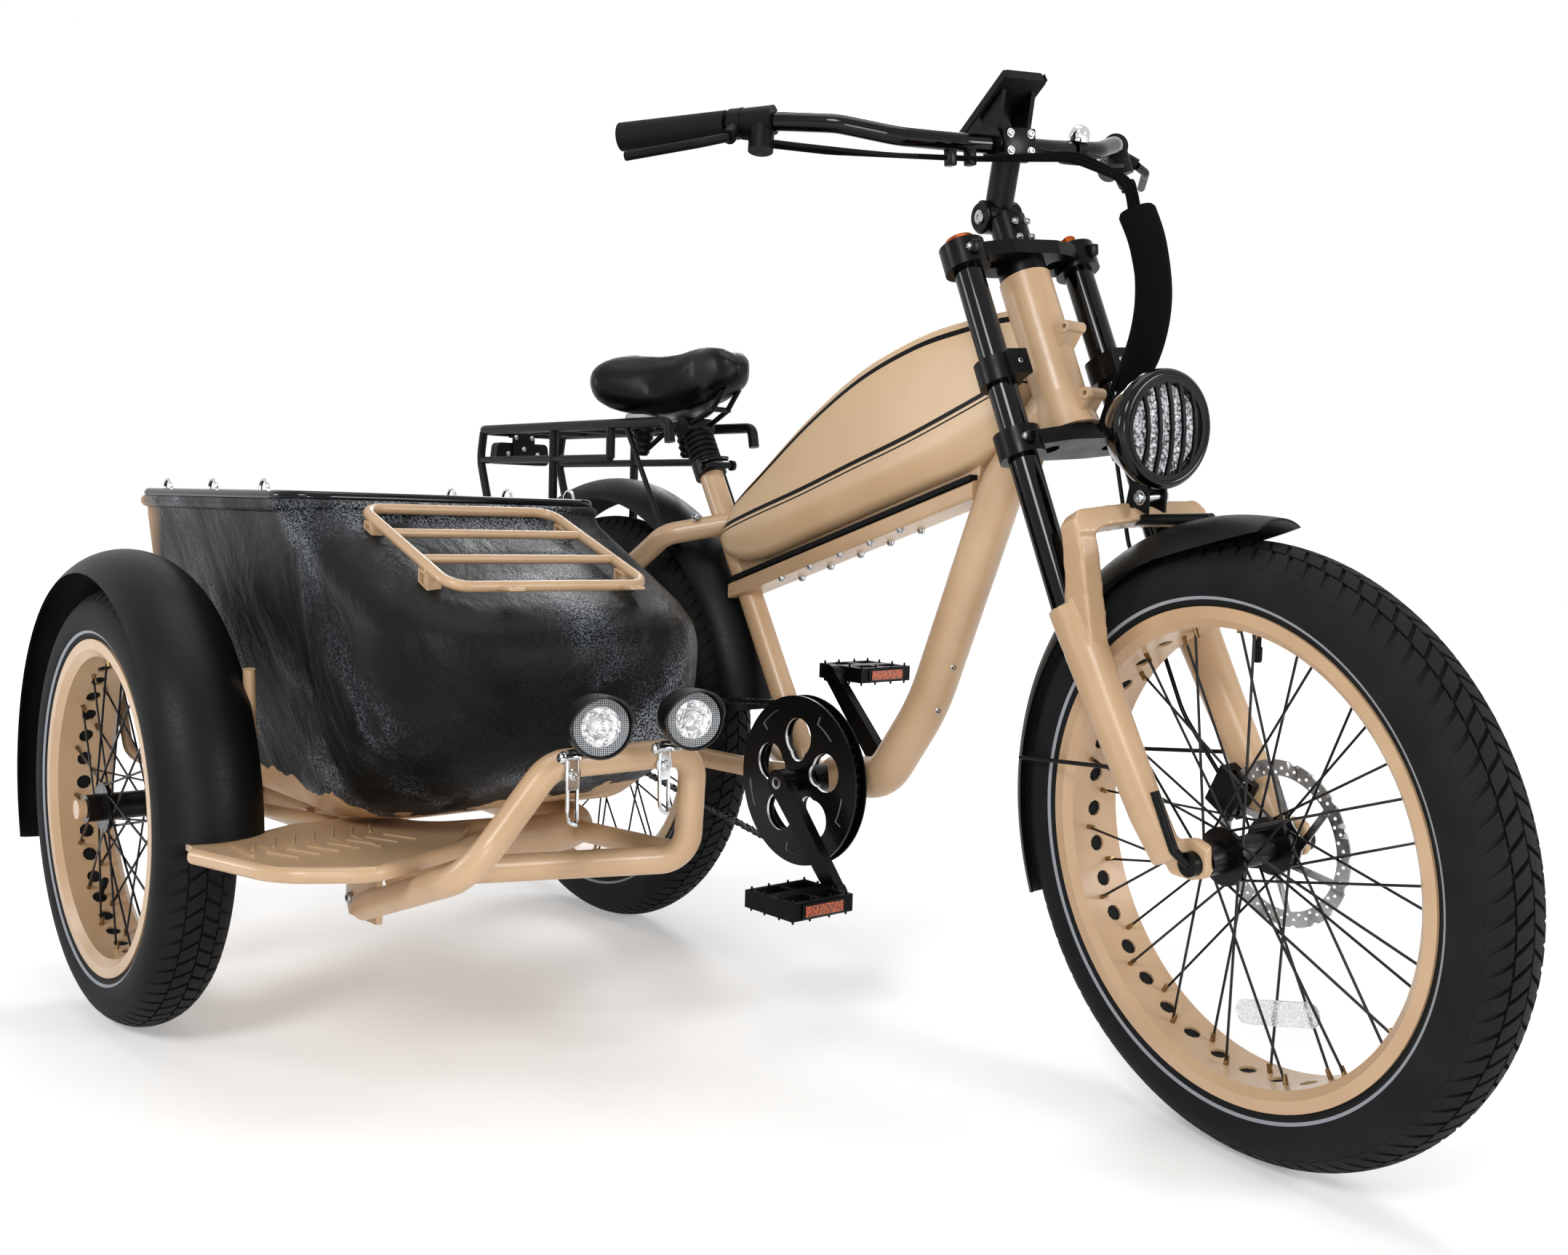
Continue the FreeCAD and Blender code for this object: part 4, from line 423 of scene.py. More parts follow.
def fork(off, along, y=0.0):
    """A point of the fork: forward of the steering axis, along it, and to the side, in millimetres."""
    p = FOOT + off * STEER_FWD + along * STEER_UP
    return at(p.x, y, p.z)

# %% [markdown]
# ## Tyres
# The tread has a slanted bar every 23 mm on each side. A bar runs from the middle of the tyre out
# over its shoulder in two slanted steps, and the two sides lie half a pitch apart, so that the
# tyre rolls quietly. The carcass is turned 3.6 mm lower than the CAD tyre in the tread, and the
# bars come back up to the CAD tyre's surface, so the wheel's radius is still the real one.

# %% Tyres
CROWN_LINE = [(0, 0.0), (10, 0.9), (20, 4.0), (28, 8.2), (36, 14.5), (41, 20.5), (45, 28.0)]
STEPS = [(1.0, 18.5, 0.0, 18.0), (20.5, 40.0, 21.0, 17.6)]
TREAD_PITCH = 23.0
BAR_SLANT = 0.75
BAR_FOOT = -4.6     # the bar's foot is below the carcass, and rises over the shoulder
TYRE_HEIGHT, TREAD_DEPTH = 0.066, 0.0036


def wheel_plane(centre):
    """A matrix that lays X and Y in the plane of an upright wheel, at its hub."""
    return Matrix.Translation(centre) @ Matrix.Rotation(math.radians(-90), 4, "X")


def drop_at(y):
    """How far the tyre's surface lies below its crown, in millimetres, at a distance from the middle."""
    for (y0, d0), (y1, d1) in zip(CROWN_LINE, CROWN_LINE[1:]):
        if y <= y1:
            return d0 + (d1 - d0) * (y - y0) / (y1 - y0)
    return CROWN_LINE[-1][1]


def tread_bar(bm, lay, radius, spin, side):
    for inner, outer, shift, wide in STEPS:
        rings = []
        for k in range(4):
            y = inner + (outer - inner) * k / 3
            along = shift + BAR_SLANT * (y - inner)
            ring = []
            deep = BAR_FOOT + 0.9 * max(y - 28.0, 0.0) / 12.0
            for lift, spread in ((deep, 0.5), (-0.4, 0.5), (0.0, 0.46),
                                 (0.0, -0.46), (-0.4, -0.5), (deep, -0.5)):
                lean = lift * min(y / 40, 1)
                r = radius - (drop_at(y) - lift + 0.25 * lean) / 1000
                a = spin + (along + spread * wide) / 1000 / radius
                yy = side * (y + lean * 0.8) / 1000
                ring.append(lay @ Vector((r * math.cos(a), r * math.sin(a), yy)))
            rings.append(ring)
        skin(bm, rings)


def tyre(name):
    centre, radius, turn = HUBS[name]
    edge = radius - TYRE_HEIGHT
    half = [(0.038, edge), (0.040, edge + 0.004), (0.0452, edge + 0.014), (0.0468, edge + 0.026),
            (0.0445, edge + 0.038), (0.037, edge + 0.0492), (0.022, edge + 0.0578), (0.0, radius - TREAD_DEPTH)]
    line = smooth_profile(half, 3)
    outer = [(-y, r) for y, r in line[:-1]] + line[::-1]
    inner = [(0.038, edge - 0.012), (0.032, edge - 0.0188), (-0.032, edge - 0.0188), (-0.038, edge - 0.012)]
    bm = bmesh.new()
    lay = wheel_plane(centre)
    turned(bm, [(r, y) for y, r in outer + inner], lay, 96, True)
    blocks = bmesh.new()
    count = round(math.tau * radius * 1000 / TREAD_PITCH)
    for side in (-1, 1):
        for i in range(count):
            tread_bar(blocks, lay, radius, math.tau * (i + 0.25 * side) / count, side)
    mate = tyre_finish[name]
    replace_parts(piece(name + "_carcass", bm, mate, name + "_wheel", 60, turn), name + "_tyre")
    tread = piece(name + "_tread", blocks, mate, name + "_wheel", 25, turn)
    print(name, "tread:", len(tread.data.polygons), "faces")


for name in HUBS:
    tyre(name)

# %% [markdown]
# ## Spoke nipples, valves and reflectors
# A spoke ends in a nipple that sticks out of the rim's floor. There are 36 in two rows, and one
# valve among them. The front wheel carries a clear reflector between two spokes.

# %% Spoke nipples, valves and reflectors
clear, s = new_material("clear lamp glass", "FFFFFF", 0.03, IOR=1.49, Transmission_Weight=1.0)
bump(clear, s, noise(clear, 0.006, 2), 0.0001, 0.15)


SPOKES = 36
RIM_DEPTH = 0.088
VALVE = [(0, 0), (0.0031, 0), (0.0031, 0.022), (0.0046, 0.0225), (0.0046, 0.036), (0.0036, 0.038), (0, 0.038)]


def nipples(name, valve_at):
    centre, radius, turn = HUBS[name]
    lay = wheel_plane(centre)
    floor = radius - RIM_DEPTH + 0.001
    bm = bmesh.new()
    for i in range(SPOKES):
        side = 1 if i % 2 else -1
        spin = -math.tau * (i + 0.5) / SPOKES
        seat = lay @ Matrix.Rotation(spin, 4, "Z") @ Matrix.Translation((floor, 0, side * 0.011))
        peg(bm, 0.0030, 0.012, seat @ Matrix.Rotation(math.radians(-90 - side * 6), 4, "Y"), 8, 0.0024)
    piece(name + "_nipples", bm, brass, name + "_wheel", 40, turn)
    stem = bmesh.new()
    seat = lay @ Matrix.Rotation(math.radians(valve_at), 4, "Z") @ Matrix.Translation((floor, 0, 0))
    turned(stem, VALVE, seat @ Matrix.Rotation(math.radians(-90), 4, "Y"), 12)
    piece(name + "_valve", stem, soft, name + "_wheel", 40, turn)


for name, valve_at in (("front", -86), ("rear", 40), ("side", 130)):
    nipples(name, valve_at)

spoke_lens, s = new_material("clear spoke reflector", "F4F6F7", 0.1, IOR=1.3, Transmission_Weight=0.85)
cubes = cell_net(spoke_lens, 420.0)
tone = ramp(spoke_lens, cubes.outputs["Distance"], [(0.2, "FFFFFF"), (0.7, "D6D9DB")])
wire(spoke_lens, tone, s, "Base Color")
bump(spoke_lens, s, cubes.outputs["Distance"], 0.0004, 0.6)
centre, radius, turn = HUBS["front"]
bm = bmesh.new()
seat = wheel_plane(centre) @ Matrix.Rotation(math.radians(75), 4, "Z") @ Matrix.Translation((0.168, 0, -0.004))
back = seat.inverted()
plate = block(bm, (0.026, 0.112, 0.004), seat)
corners = {e for v in plate for e in v.link_edges
           if abs((back @ e.verts[0].co).z - (back @ e.verts[1].co).z) > 0.003}
bmesh.ops.bevel(bm, geom=list(corners), offset=0.012, segments=5, affect="EDGES", profile=0.5)
piece("front_spoke_reflector", bm, spoke_lens, "front_wheel", 30, turn)

# %% [markdown]
# ## Brake discs
# A disc is laser cut from 2 mm stainless steel. Its brake track has two rows of small holes, which
# a Boolean modifier cuts from a copy of the CAD disc.

# %% Brake discs
HOLE_ROWS = (0.0765, 0.0815)
HOLES = 30


def copy_of(name):
    """The mesh of a CAD object, with its doubled points merged."""
    bm = bmesh.new()
    bm.from_mesh(nodes[name].data)
    bmesh.ops.remove_doubles(bm, verts=bm.verts, dist=0.00002)
    return bm


def drilled(name, body, turn, centre, y):
    disc = piece(name + "_drilled", copy_of(name), steel, body, 30)
    cutter = bmesh.new()
    for row, r in enumerate(HOLE_ROWS):
        for i in range(HOLES):
            a = math.tau * (i + 0.5 * row) / HOLES
            spot = turn @ (centre + Vector((r * math.cos(a), (y - 1) / 1000, r * math.sin(a))))
            peg(cutter, 0.0021, 0.004, aimed(spot, turn.to_3x3() @ Vector((0, 1, 0))), 8)
    mesh = bpy.data.meshes.new("holes")
    cutter.to_mesh(mesh)
    cutter.free()
    holes = bpy.data.objects.new("holes", mesh)
    scene.collection.objects.link(holes)
    cut = disc.modifiers.new("holes", "BOOLEAN")
    cut.object = holes
    cut.operation = "DIFFERENCE"
    cut.solver = "EXACT"
    seen = bpy.context.evaluated_depsgraph_get()
    done = bpy.data.meshes.new_from_object(disc.evaluated_get(seen))
    disc.modifiers.clear()
    disc.data = done
    bpy.data.objects.remove(holes)
    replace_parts(disc, name)
    print(name, "has", len(done.polygons), "faces with its holes")


drilled("front_rotor", "front_wheel", TURN, HUBS["front"][0], 50)
drilled("rear_rotor", "rear_wheel", STAND, HUBS["rear"][0], 50)

# %% [markdown]
# ## Chain
# A bicycle chain has a pin every 12.7 mm, with narrow and wide pairs of plates by turns. The
# links follow the straight runs and the two arcs that the CAD loop has, so both sprockets mesh.

# %% Chain
RING, RING_R = at(-658, -58, 306), 0.104
COG, COG_R = at(-WHEELBASE, -58, WHEEL_R), 0.036
PITCH = 0.0127


def chain_path():
    between = RING - COG
    base = math.atan2(between.z, between.x)
    lean = math.asin((RING_R - COG_R) / between.length)
    up, down = base + math.pi / 2 + lean, base - math.pi / 2 - lean

    def on(c, r, a):
        return c + Vector((r * math.cos(a), 0, r * math.sin(a)))
    points = []
    for i in range(41):
        points.append(on(RING, RING_R, up + (down - up) * i / 40))
    for i in range(21):
        points.append(on(COG, COG_R, down - (math.tau - (up - down)) * i / 20))
    return points + [points[0]]


def along_line(points, count):
    """Evenly spaced points on a line."""
    lengths = [0.0]
    for a, b in zip(points, points[1:]):
        lengths.append(lengths[-1] + (b - a).length)
    out = []
    for i in range(count):
        s = lengths[-1] * i / count
        k = max(j for j in range(len(points) - 1) if lengths[j] <= s)
        t = (s - lengths[k]) / max(lengths[k + 1] - lengths[k], 1e-9)
        out.append(points[k].lerp(points[k + 1], t))
    return out, lengths[-1]


loop = chain_path()
_, total = along_line(loop, 1)
links = 2 * round(total / (2 * PITCH))
pins, _ = along_line(loop, links)
bm = bmesh.new()
for i in range(links):
    a, b = pins[i], pins[(i + 1) % links]
    wide = 0.0034 if i % 2 else 0.0022
    for side in (-1, 1):
        out = Vector((0, side, 0))
        middle = (a + b) / 2 + out * (wide + 0.0005)
        frame_x = (b - a).normalized()
        turn = Matrix((frame_x, Vector((0, 1, 0)), frame_x.cross(Vector((0, 1, 0))))).transposed().to_4x4()
        block(bm, ((b - a).length, 0.001, 0.0058), Matrix.Translation(middle) @ turn)
        for end in (a, b):
            peg(bm, 0.0040, 0.001, aimed(end + out * wide, out), 8)
    peg(bm, 0.0018, 0.0092, aimed(a - Vector((0, 0.0046, 0)), (0, 1, 0)), 6)
    peg(bm, 0.0038, 0.0042, aimed(a - Vector((0, 0.0021, 0)), (0, 1, 0)), 8)
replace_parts(piece("chain_links", bm, chain_steel, "frame"), "chain")
print("chain of", links, "links")

# %% [markdown]
# ## Tank
# The tank is a hollow aluminium shell, and its form is all in its cross-sections: a round belly,
# a crease along each side, and a flat side that leans in to a narrow rounded top. The skin runs
# over the same stations as the CAD tank, with a smooth line through them. Two coordinates go with
# it, the height above the crease and the distance below the upper seam, so the pinstripes and
# the seam are painted as lines of true width that follow the form.

# %% Tank
TANK = [(-886, 608, 636, 664, 30), (-862, 594, 646, 690, 42), (-800, 599, 666, 733, 46),
        (-700, 631, 697, 803, 46), (-600, 663, 731, 859, 46), (-500, 695, 765, 895, 44),
        (-420, 720, 797, 911, 39), (-372, 744, 818, 918, 34), (-332, 765, 836, 920, 30)]


def stations_between(stations, steps):
    """The numbers of more cross-sections, on smooth lines through the given ones."""
    rows = [list(stations[0])]
    for i in range(len(stations) - 1):
        a, b, c, d = (stations[min(max(i + k, 0), len(stations) - 1)] for k in (-1, 0, 1, 2))
        for s in range(1, steps + 1):
            t = s / steps
            rows.append([0.5 * (2 * q + (r - p) * t + (2 * p - 5 * q + 4 * r - u) * t * t
                                + (3 * q - p - 3 * r + u) * t ** 3) for p, q, r, u in zip(a, b, c, d)])
    return rows


def tank_half(low, crease, top, half):
    """One side of a section, from the keel up to the ridge, with its crease and its upper seam."""
    upper = half * 0.62
    edge, seam = (half * 0.93, crease), (upper + 2, top - 16)
    belly = smooth_profile([(0, low), (half * 0.72, low + 8), (half, low + (crease - low) * 0.5), edge], 5)
    side = smooth_profile([edge, seam, (upper * 0.55, top - 3), (0, top)], 5)
    return belly + side[1:], edge, seam


def both_sides(x, half):
    """A whole section at x from one half, a row of (y, z) pairs from the bottom to the top."""
    return [at(x, -y, z) for y, z in half] + [at(x, y, z) for y, z in half[-2:0:-1]]


def past(y, z, line):
    """The distance from a line of the form, in metres, and below zero underneath it."""
    return math.hypot(y - line[0], z - line[1]) * (1 if z > line[1] else -1) / 1000


bm = bmesh.new()
rings = []
marks = []
for x, low, crease, top, half in stations_between(TANK, 5):
    right, edge, seam = tank_half(low, crease, top, half)
    mark = [(past(y, z, edge), past(y, z, seam)) for y, z in right]
    rings.append(both_sides(x, right))
    marks.append(mark + mark[-2:0:-1])
rows = skin(bm, rings)
guide = {v: m for row, mark in zip(rows, marks) for v, m in zip(row, mark)}
uv = bm.loops.layers.uv.new("stripes")
for face in bm.faces:
    for corner in face.loops:
        corner[uv].uv = guide[corner.vert]

sand_tank, s = new_material("sand satin paint with pinstripes", "CCAB86", 0.34, IOR=1.5)
lines = add(sand_tank, "SeparateXYZ", None, Vector=add(sand_tank, "UVMap", {"uv_map": "stripes"}).outputs["UV"])

PINSTRIPES = [("X", 0.0010, 0.0032), ("X", -0.0072, 0.0012), ("Y", 0.0, 0.0036)]
wide, thin, seam = (band(sand_tank, lines.outputs[axis], middle, half) for axis, middle, half in PINSTRIPES)
stripes = calc(sand_tank, "ADD", calc(sand_tank, "ADD", wide, thin), seam)
tone = ramp(sand_tank, noise(sand_tank, 0.15, 3), [(0.3, "C3A582"), (0.75, "BA9B76")])
inked = add(sand_tank, "MixRGB", None, Fac=stripes, Color1=tone, Color2=paint("020202"))
dull = add(sand_tank, "MapRange", {"To Min": 0.5, "To Max": 0.08}, Value=stripes)
wire(sand_tank, dull.outputs[0], s, "Specular IOR Level")
wire(sand_tank, inked.outputs[0], s, "Base Color")
bump(sand_tank, s, noise(sand_tank, 0.0012, 2), 0.0001, 0.2)
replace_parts(piece("tank_shell", bm, sand_tank, "frame", 50), "tank")
print("tank skin over", len(rows), "sections")

# %% [markdown]
# ## Saddle
# The saddle is a foam pad under stretched vinyl. The pad's first form is a skin over cross-
# sections, a little smaller than the real one. A cloth simulation with air pressure inside then
# swells it, as foam presses the vinyl out, and no point may move more than a few millimetres.

# %% Saddle
PAD = [(0.0, 14, 862, 890), (0.06, 30, 846, 904), (0.16, 38, 836, 914), (0.32, 44, 826, 910),
       (0.5, 66, 812, 900), (0.68, 98, 806, 900), (0.84, 120, 812, 904), (0.95, 108, 826, 898),
       (1.0, 92, 844, 886)]

PAD_FRONT, PAD_LENGTH, PAD_SHRINK = -882, 262, 4.0
SWELL_LIMIT = 0.006


def saddle_pad():
    bm = bmesh.new()
    rings = []
    for share, half, low, high in stations_between(PAD, 4):
        half, low, high = half - PAD_SHRINK, low + PAD_SHRINK, high - PAD_SHRINK
        middle = (low + high) / 2
        right = [(0, low), (half * 0.72, low + 3), (half * 0.96, (low + middle) / 2), (half, middle + 4),
                 (half * 0.9, (middle + high) / 2 + 4), (half * 0.64, high - 4), (half * 0.32, high - 2),
                 (0, high - 3)]
        rings.append(both_sides(PAD_FRONT - PAD_LENGTH * share, smooth_profile(right, 2)))
    skin(bm, rings)
    return bm


vinyl, s = new_material("black saddle vinyl", "030304", 0.32, Specular_IOR_Level=0.16)
pores = cell_net(vinyl, 700.0)
vary(vinyl, s, "Roughness", 0.03, 4, (0.3, 0.28), (0.75, 0.42))
bump(vinyl, s, pores.outputs["Distance"], 0.00025, 0.35)
pad = piece("saddle_pad", saddle_pad(), vinyl, "frame", 80)


def applied(obj):
    """Replaces an object's mesh by what its modifiers make of it."""
    seen = bpy.context.evaluated_depsgraph_get()
    done = bpy.data.meshes.new_from_object(obj.evaluated_get(seen))
    obj.modifiers.clear()
    obj.data = done
    done.polygons.foreach_set("use_smooth", [True] * len(done.polygons))


remesh = pad.modifiers.new("even mesh", "REMESH")
remesh.mode = "VOXEL"
remesh.voxel_size = 0.005
applied(pad)
before = [v.co.copy() for v in pad.data.vertices]
cloth = pad.modifiers.new("air pressure", "CLOTH")
cloth.settings.use_pressure = True
cloth.settings.uniform_pressure_force = 4.0
cloth.settings.effector_weights.gravity = 0.0
for frame_number in range(1, 21):
    scene.frame_set(frame_number)
applied(pad)
scene.frame_set(1)
for vert, start in zip(pad.data.vertices, before):
    move = vert.co - start
    if move.length > SWELL_LIMIT:
        vert.co = start + move * (SWELL_LIMIT / move.length)
fine = pad.modifiers.new("smooth skin", "SUBSURF")
fine.levels = 1
fine.render_levels = 1
applied(pad)
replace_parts(pad, "saddle")
bm = bmesh.new()
for side in (-1, 1):
    turned(bm, [(0.0235, 0), (0.0275, 0.001), (0.0285, 0.004), (0.0275, 0.008), (0.0235, 0.009)],
           aimed(at(-1072, side * 42, 802), (0, 0, 1)), 32, True)
piece("spring_rings", bm, elastomer, "frame", 50)
print("saddle padded:", len(pad.data.polygons), "faces")

# %% [markdown]
# ## Cast fork legs
# The lower legs and their arch are one magnesium casting, so no edge on them is sharp. A copy of
# the CAD solid gets an even mesh and a few rounds of smoothing, which melts its corners together.

# %% Cast fork legs
casting = piece("fork_casting", copy_of("fork_legs"), sand, "fork", 80)
even = casting.modifiers.new("even mesh", "REMESH")
even.mode = "VOXEL"
even.voxel_size = 0.0022
melt = casting.modifiers.new("melted corners", "SMOOTH")
melt.factor = 0.5
melt.iterations = 9
applied(casting)
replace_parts(casting, "fork_legs")
print("fork casting:", len(casting.data.polygons), "faces")

# %% [markdown]
# ## Sidecar tub
# The tub is one thin shell of moulded plastic with a rough, speckled black coating. Tan is painted as a
# reflection along the bottom and over the upper rear corners. The skin goes up the outside over the CAD
# tub's levels, over the edge and down the inside, so it has the same wall. Slow noise pushes soft dents
# into the sides and darkens them as painted shade, and a stretched, twisted noise paints cloudy streaks of
# reflected light on the coating.

# %% Sidecar tub
LEVELS = [(290, -790, -1352, 172, 70), (297, -745, -1360, 186, 86), (312, -700, -1367, 198, 98),
          (340, -640, -1375, 208, 112), (385, -590, -1381, 215, 124), (440, -568, -1387, 219, 130),
          (500, -563, -1390, 220, 130), (530, -577, -1392, 220, 128), (552, -612, -1393, 220, 120),
          (576, -672, -1395, 220, 104), (640, -836, -1395, 220, 56), (662, -862, -1395, 220, 50)]
WALL = 5.0
FLOOR, SHOULDER, RIM = 290, 552, 662
SLOPE_DROP = 3.5      # the inside lies this much lower on the sloping nose
# Below this height, with a wavy edge, the tub is painted tan as a reflection.
TAN_REFLECTION_BELOW = 0.318    # the coating starts above this height, in metres


def level_ring(z, front, rear, half, corner, inset):
    points = []
    y = half - inset
    for sx, sy, quarter in ((1, -1, -90), (1, 1, 0), (-1, 1, 90), (-1, -1, 180)):
        r = max((corner if sx > 0 else corner * 0.6) - inset, 8)
        x = front - inset if sx > 0 else rear + inset
        for i in range(13):
            a = math.radians(quarter + 90 * i / 12)
            points.append(at(x - sx * r + r * math.cos(a), -470 + sy * (y - r) + r * math.sin(a), z))
        if (sx, sy) in ((1, 1), (-1, -1)):
            start = points[-1]
            end_x = (rear + corner * 0.6) if sx > 0 else (front - corner)
            for k in range(1, 10):
                points.append(start.lerp(at(end_x, -470 + sy * y, z), k / 10))
    return points


bm = bmesh.new()
fine = stations_between(LEVELS[:8], 3) + [list(level) for level in LEVELS[8:]]
outside = [level_ring(*level, 0.0) for level in fine]
inside = []
for level in fine[::-1]:
    z = level[0] + (WALL if level[0] == FLOOR else 0) - (SLOPE_DROP if SHOULDER <= level[0] < RIM else 0)
    inside.append(level_ring(z, *level[1:], WALL))
skin(bm, outside + inside)
pod_shell, s = new_material("speckled tub coating with painted light", "1B1C1E", 0.42, Specular_IOR_Level=0.12)
turned_to = add(pod_shell, "Mapping", {"Rotation": (0.0, -0.8, 0.25)}, Vector=place(pod_shell))
slanted = add(pod_shell, "Mapping", {"Scale": (0.34, 0.8, 1.0)}, Vector=turned_to.outputs[0])
cloud = add(pod_shell, "TexNoise", {"Scale": 7.0, "Detail": 3.0, "Roughness": 0.5, "Distortion": 0.2},
            Vector=slanted.outputs[0])
fold = add(pod_shell, "TexNoise", {"Scale": 13.0, "Detail": 4.0, "Roughness": 0.55, "Distortion": 0.35},
           Vector=slanted.outputs[0])
speck = add(pod_shell, "TexNoise", {"Scale": 420.0, "Detail": 2.0, "Roughness": 0.6}, Vector=place(pod_shell))
# Painted reflection: the cloudy streaks lighten the speckle, as lamps show in a polished shell.
light = ramp(pod_shell, cloud.outputs["Fac"], [(0.40, 0.07), (0.49, 0.30), (0.55, 0.60), (0.64, 1.0)])
# Painted shade: the noise of the dents darkens the speckle in the dents.
crease = ramp(pod_shell, fold.outputs["Fac"], [(0.40, 0.05), (0.48, 1.0)])
grains = ramp(pod_shell, speck.outputs["Fac"], [(0.44, 0.0), (0.58, 1.0)])
mixed = calc(pod_shell, "MULTIPLY", calc(pod_shell, "MULTIPLY", light, grains), crease)
speckle_and_painted_light = ramp(pod_shell, mixed, [(0.0, "040505"), (0.12, "191B1E"), (0.35, "484C52"), (1.0, "A0A5AC")])
height = add(pod_shell, "SeparateXYZ", None, Vector=place(pod_shell))
wavy = add(pod_shell, "MapRange", {"From Min": 0.3, "From Max": 0.7, "To Min": -0.022, "To Max": 0.020},
           Value=noise(pod_shell, 0.09, 3))
edge = calc(pod_shell, "ADD", height.outputs["Z"], wavy.outputs[0])
# Painted reflection: tan along the bottom, below a wavy line.
painted_tan_reflection = calc(pod_shell, "LESS_THAN", edge, TAN_REFLECTION_BELOW)
# Tan is also painted over the upper rear corners, along the cloudy streaks, as a reflection.
painted_corner_reflection = add(pod_shell, "MapRange", {"From Min": -0.700, "From Max": -0.775}, Value=height.outputs["X"])
upper = add(pod_shell, "MapRange", {"From Min": 0.47, "From Max": 0.56}, Value=edge)
streaks = ramp(pod_shell, cloud.outputs["Fac"], [(0.42, 1.0), (0.56, 0.25)])
painted_corner_reflection = calc(pod_shell, "MULTIPLY", calc(pod_shell, "MULTIPLY", painted_corner_reflection.outputs[0], upper.outputs[0]), streaks)
painted_tan_reflection = calc(pod_shell, "MAXIMUM", painted_tan_reflection, painted_corner_reflection)
both = add(pod_shell, "MixRGB", None, Fac=painted_tan_reflection, Color1=speckle_and_painted_light, Color2=paint("BC9872"))
wire(pod_shell, both.outputs[0], s, "Base Color")
wire(pod_shell, ramp(pod_shell, cloud.outputs["Fac"], [(0.3, 0.5), (0.7, 0.34)]), s, "Roughness")
relief = add(pod_shell, "Math", {"operation": "MULTIPLY_ADD"}, i0=speck.outputs["Fac"], i1=0.035,
             i2=fold.outputs["Fac"])
bump(pod_shell, s, relief.outputs[0], 0.016, 0.6)
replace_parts(piece("tub_skin", bm, pod_shell, "frame", 40), "pod")
bead = bmesh.new()
lip = level_ring(658, *LEVELS[-1][1:], 0.0)
pipe(bead, lip + lip[:1], 0.0085, 10, 1, False)
piece("rim_bead", bead, pod_shell, "frame", 60)
print("tub skin over", len(fine), "levels")

# %% [markdown]
# ## Headlight
# The bucket is spun from sheet steel and enamelled black, with a bezel rolled over its edge. Two
# plates hold it on the fork's arch. Behind the clear lens sits a silvered plate with a pattern of
# small moulded cups, which throw the light of many small lamps forward.

# %% Headlight
LAMP_DIR = Vector((1, 0, -0.03)).normalized()
LAMP_UP = Vector((0.03, 0, 1)).normalized()
LAMP_AT = fork(140, 452)
LAMP = TURN @ aimed(LAMP_AT, LAMP_DIR)
bm = bmesh.new()
bowl = smooth_profile([(0, -0.0640), (0.014, -0.0634), (0.0265, -0.0595), (0.038, -0.0520), (0.0490, -0.0380),
                       (0.0560, -0.0230), (0.0600, -0.0110)], 3)
bezel = [(0.0625, -0.0105), (0.0645, -0.0085), (0.0650, -0.0050), (0.0650, 0.0015), (0.0640, 0.0045),
         (0.0615, 0.0070), (0.0585, 0.0080), (0.0560, 0.0072), (0.0530, 0.0052), (0.0495, 0.0034),
         (0.0490, -0.0040), (0, -0.0040)]
turned(bm, bowl + bezel, LAMP, 64)
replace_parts(piece("headlight_bucket", bm, gloss, "fork", 40), "headlight")


def from_lamp(ahead, y, up):
    return LAMP_AT + (ahead * LAMP_DIR + up * LAMP_UP) / 1000 + Vector((0, y / 1000, 0))


bm = bmesh.new()
for y in (-15, 11):
    outline = [from_lamp(-32, y, -44), from_lamp(-8, y, -54), from_lamp(-10, y, -92),
               fork(76, 389, y), fork(60, 389, y)]
    skin(bm, [outline, [p + Vector((0, 0.004, 0)) for p in outline]])
soften(bm, 0.0008, 2)
piece("headlight_plates", bm, plastic, "fork", 30, TURN)
bm = bmesh.new()
peg(bm, 0.005, 0.036, aimed(from_lamp(-18, -18, -74), (0, 1, 0)), 16)
for side in (-1, 1):
    bolt(bm, from_lamp(-18, side * 16, -74), (0, side, 0), 0.0068, 0.0055)
piece("headlight_bolts", bm, steel, "fork", 30, TURN)

silvered, s = new_material("silvered reflector", "C5C8CE", 0.1, 0.4)
facets = cell_net(silvered, 260.0)
wire(silvered, ramp(silvered, facets.outputs["Color"], [(0.3, 0.05), (0.7, 0.25)]), s, "Roughness")
tone = ramp(silvered, facets.outputs["Distance"], [(0.1, "FFFFFF"), (0.45, "E4E7EC"), (0.7, "33363C")])
wire(silvered, tone, s, "Base Color")
bump(silvered, s, facets.outputs["Distance"], 0.002, 1.0)
bm = bmesh.new()
turned(bm, [(0, -0.0038), (0.0488, -0.0038), (0.0488, -0.0030), (0.048, -0.0026), (0, -0.0026)], LAMP, 48)
for i in range(-4, 5):
    for k in range(-4, 5):
        across, high = i * 0.0112, (k + 0.5 * (i % 2)) * 0.0112
        if math.hypot(across, high) < 0.047:
            spot = LAMP @ Matrix.Translation((across, high, -0.0026))
            peg(bm, 0.0056, 0.0022, spot, 6, 0.0018)
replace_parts(piece("headlight_reflector", bm, silvered, "fork", 20), "headlight_lens")
bm = bmesh.new()
turned(bm, [(0, 0.0002), (0.0488, 0.0002), (0.0488, 0.0010), (0.040, 0.0014), (0, 0.0016)], LAMP, 48)
piece("headlight_glass", bm, clear, "fork", 40)
print("headlight dressed")

# %% [markdown]
# ## Bullet lamps
# Each small lamp is a turned black shell with a peak over its face. Inside are a bright bowl, a
# clear ring with fine crossed prisms and a lens in the middle. The lamp sits on a bolt between
# the legs of a bent wire, which hangs from the bumper's top bar.

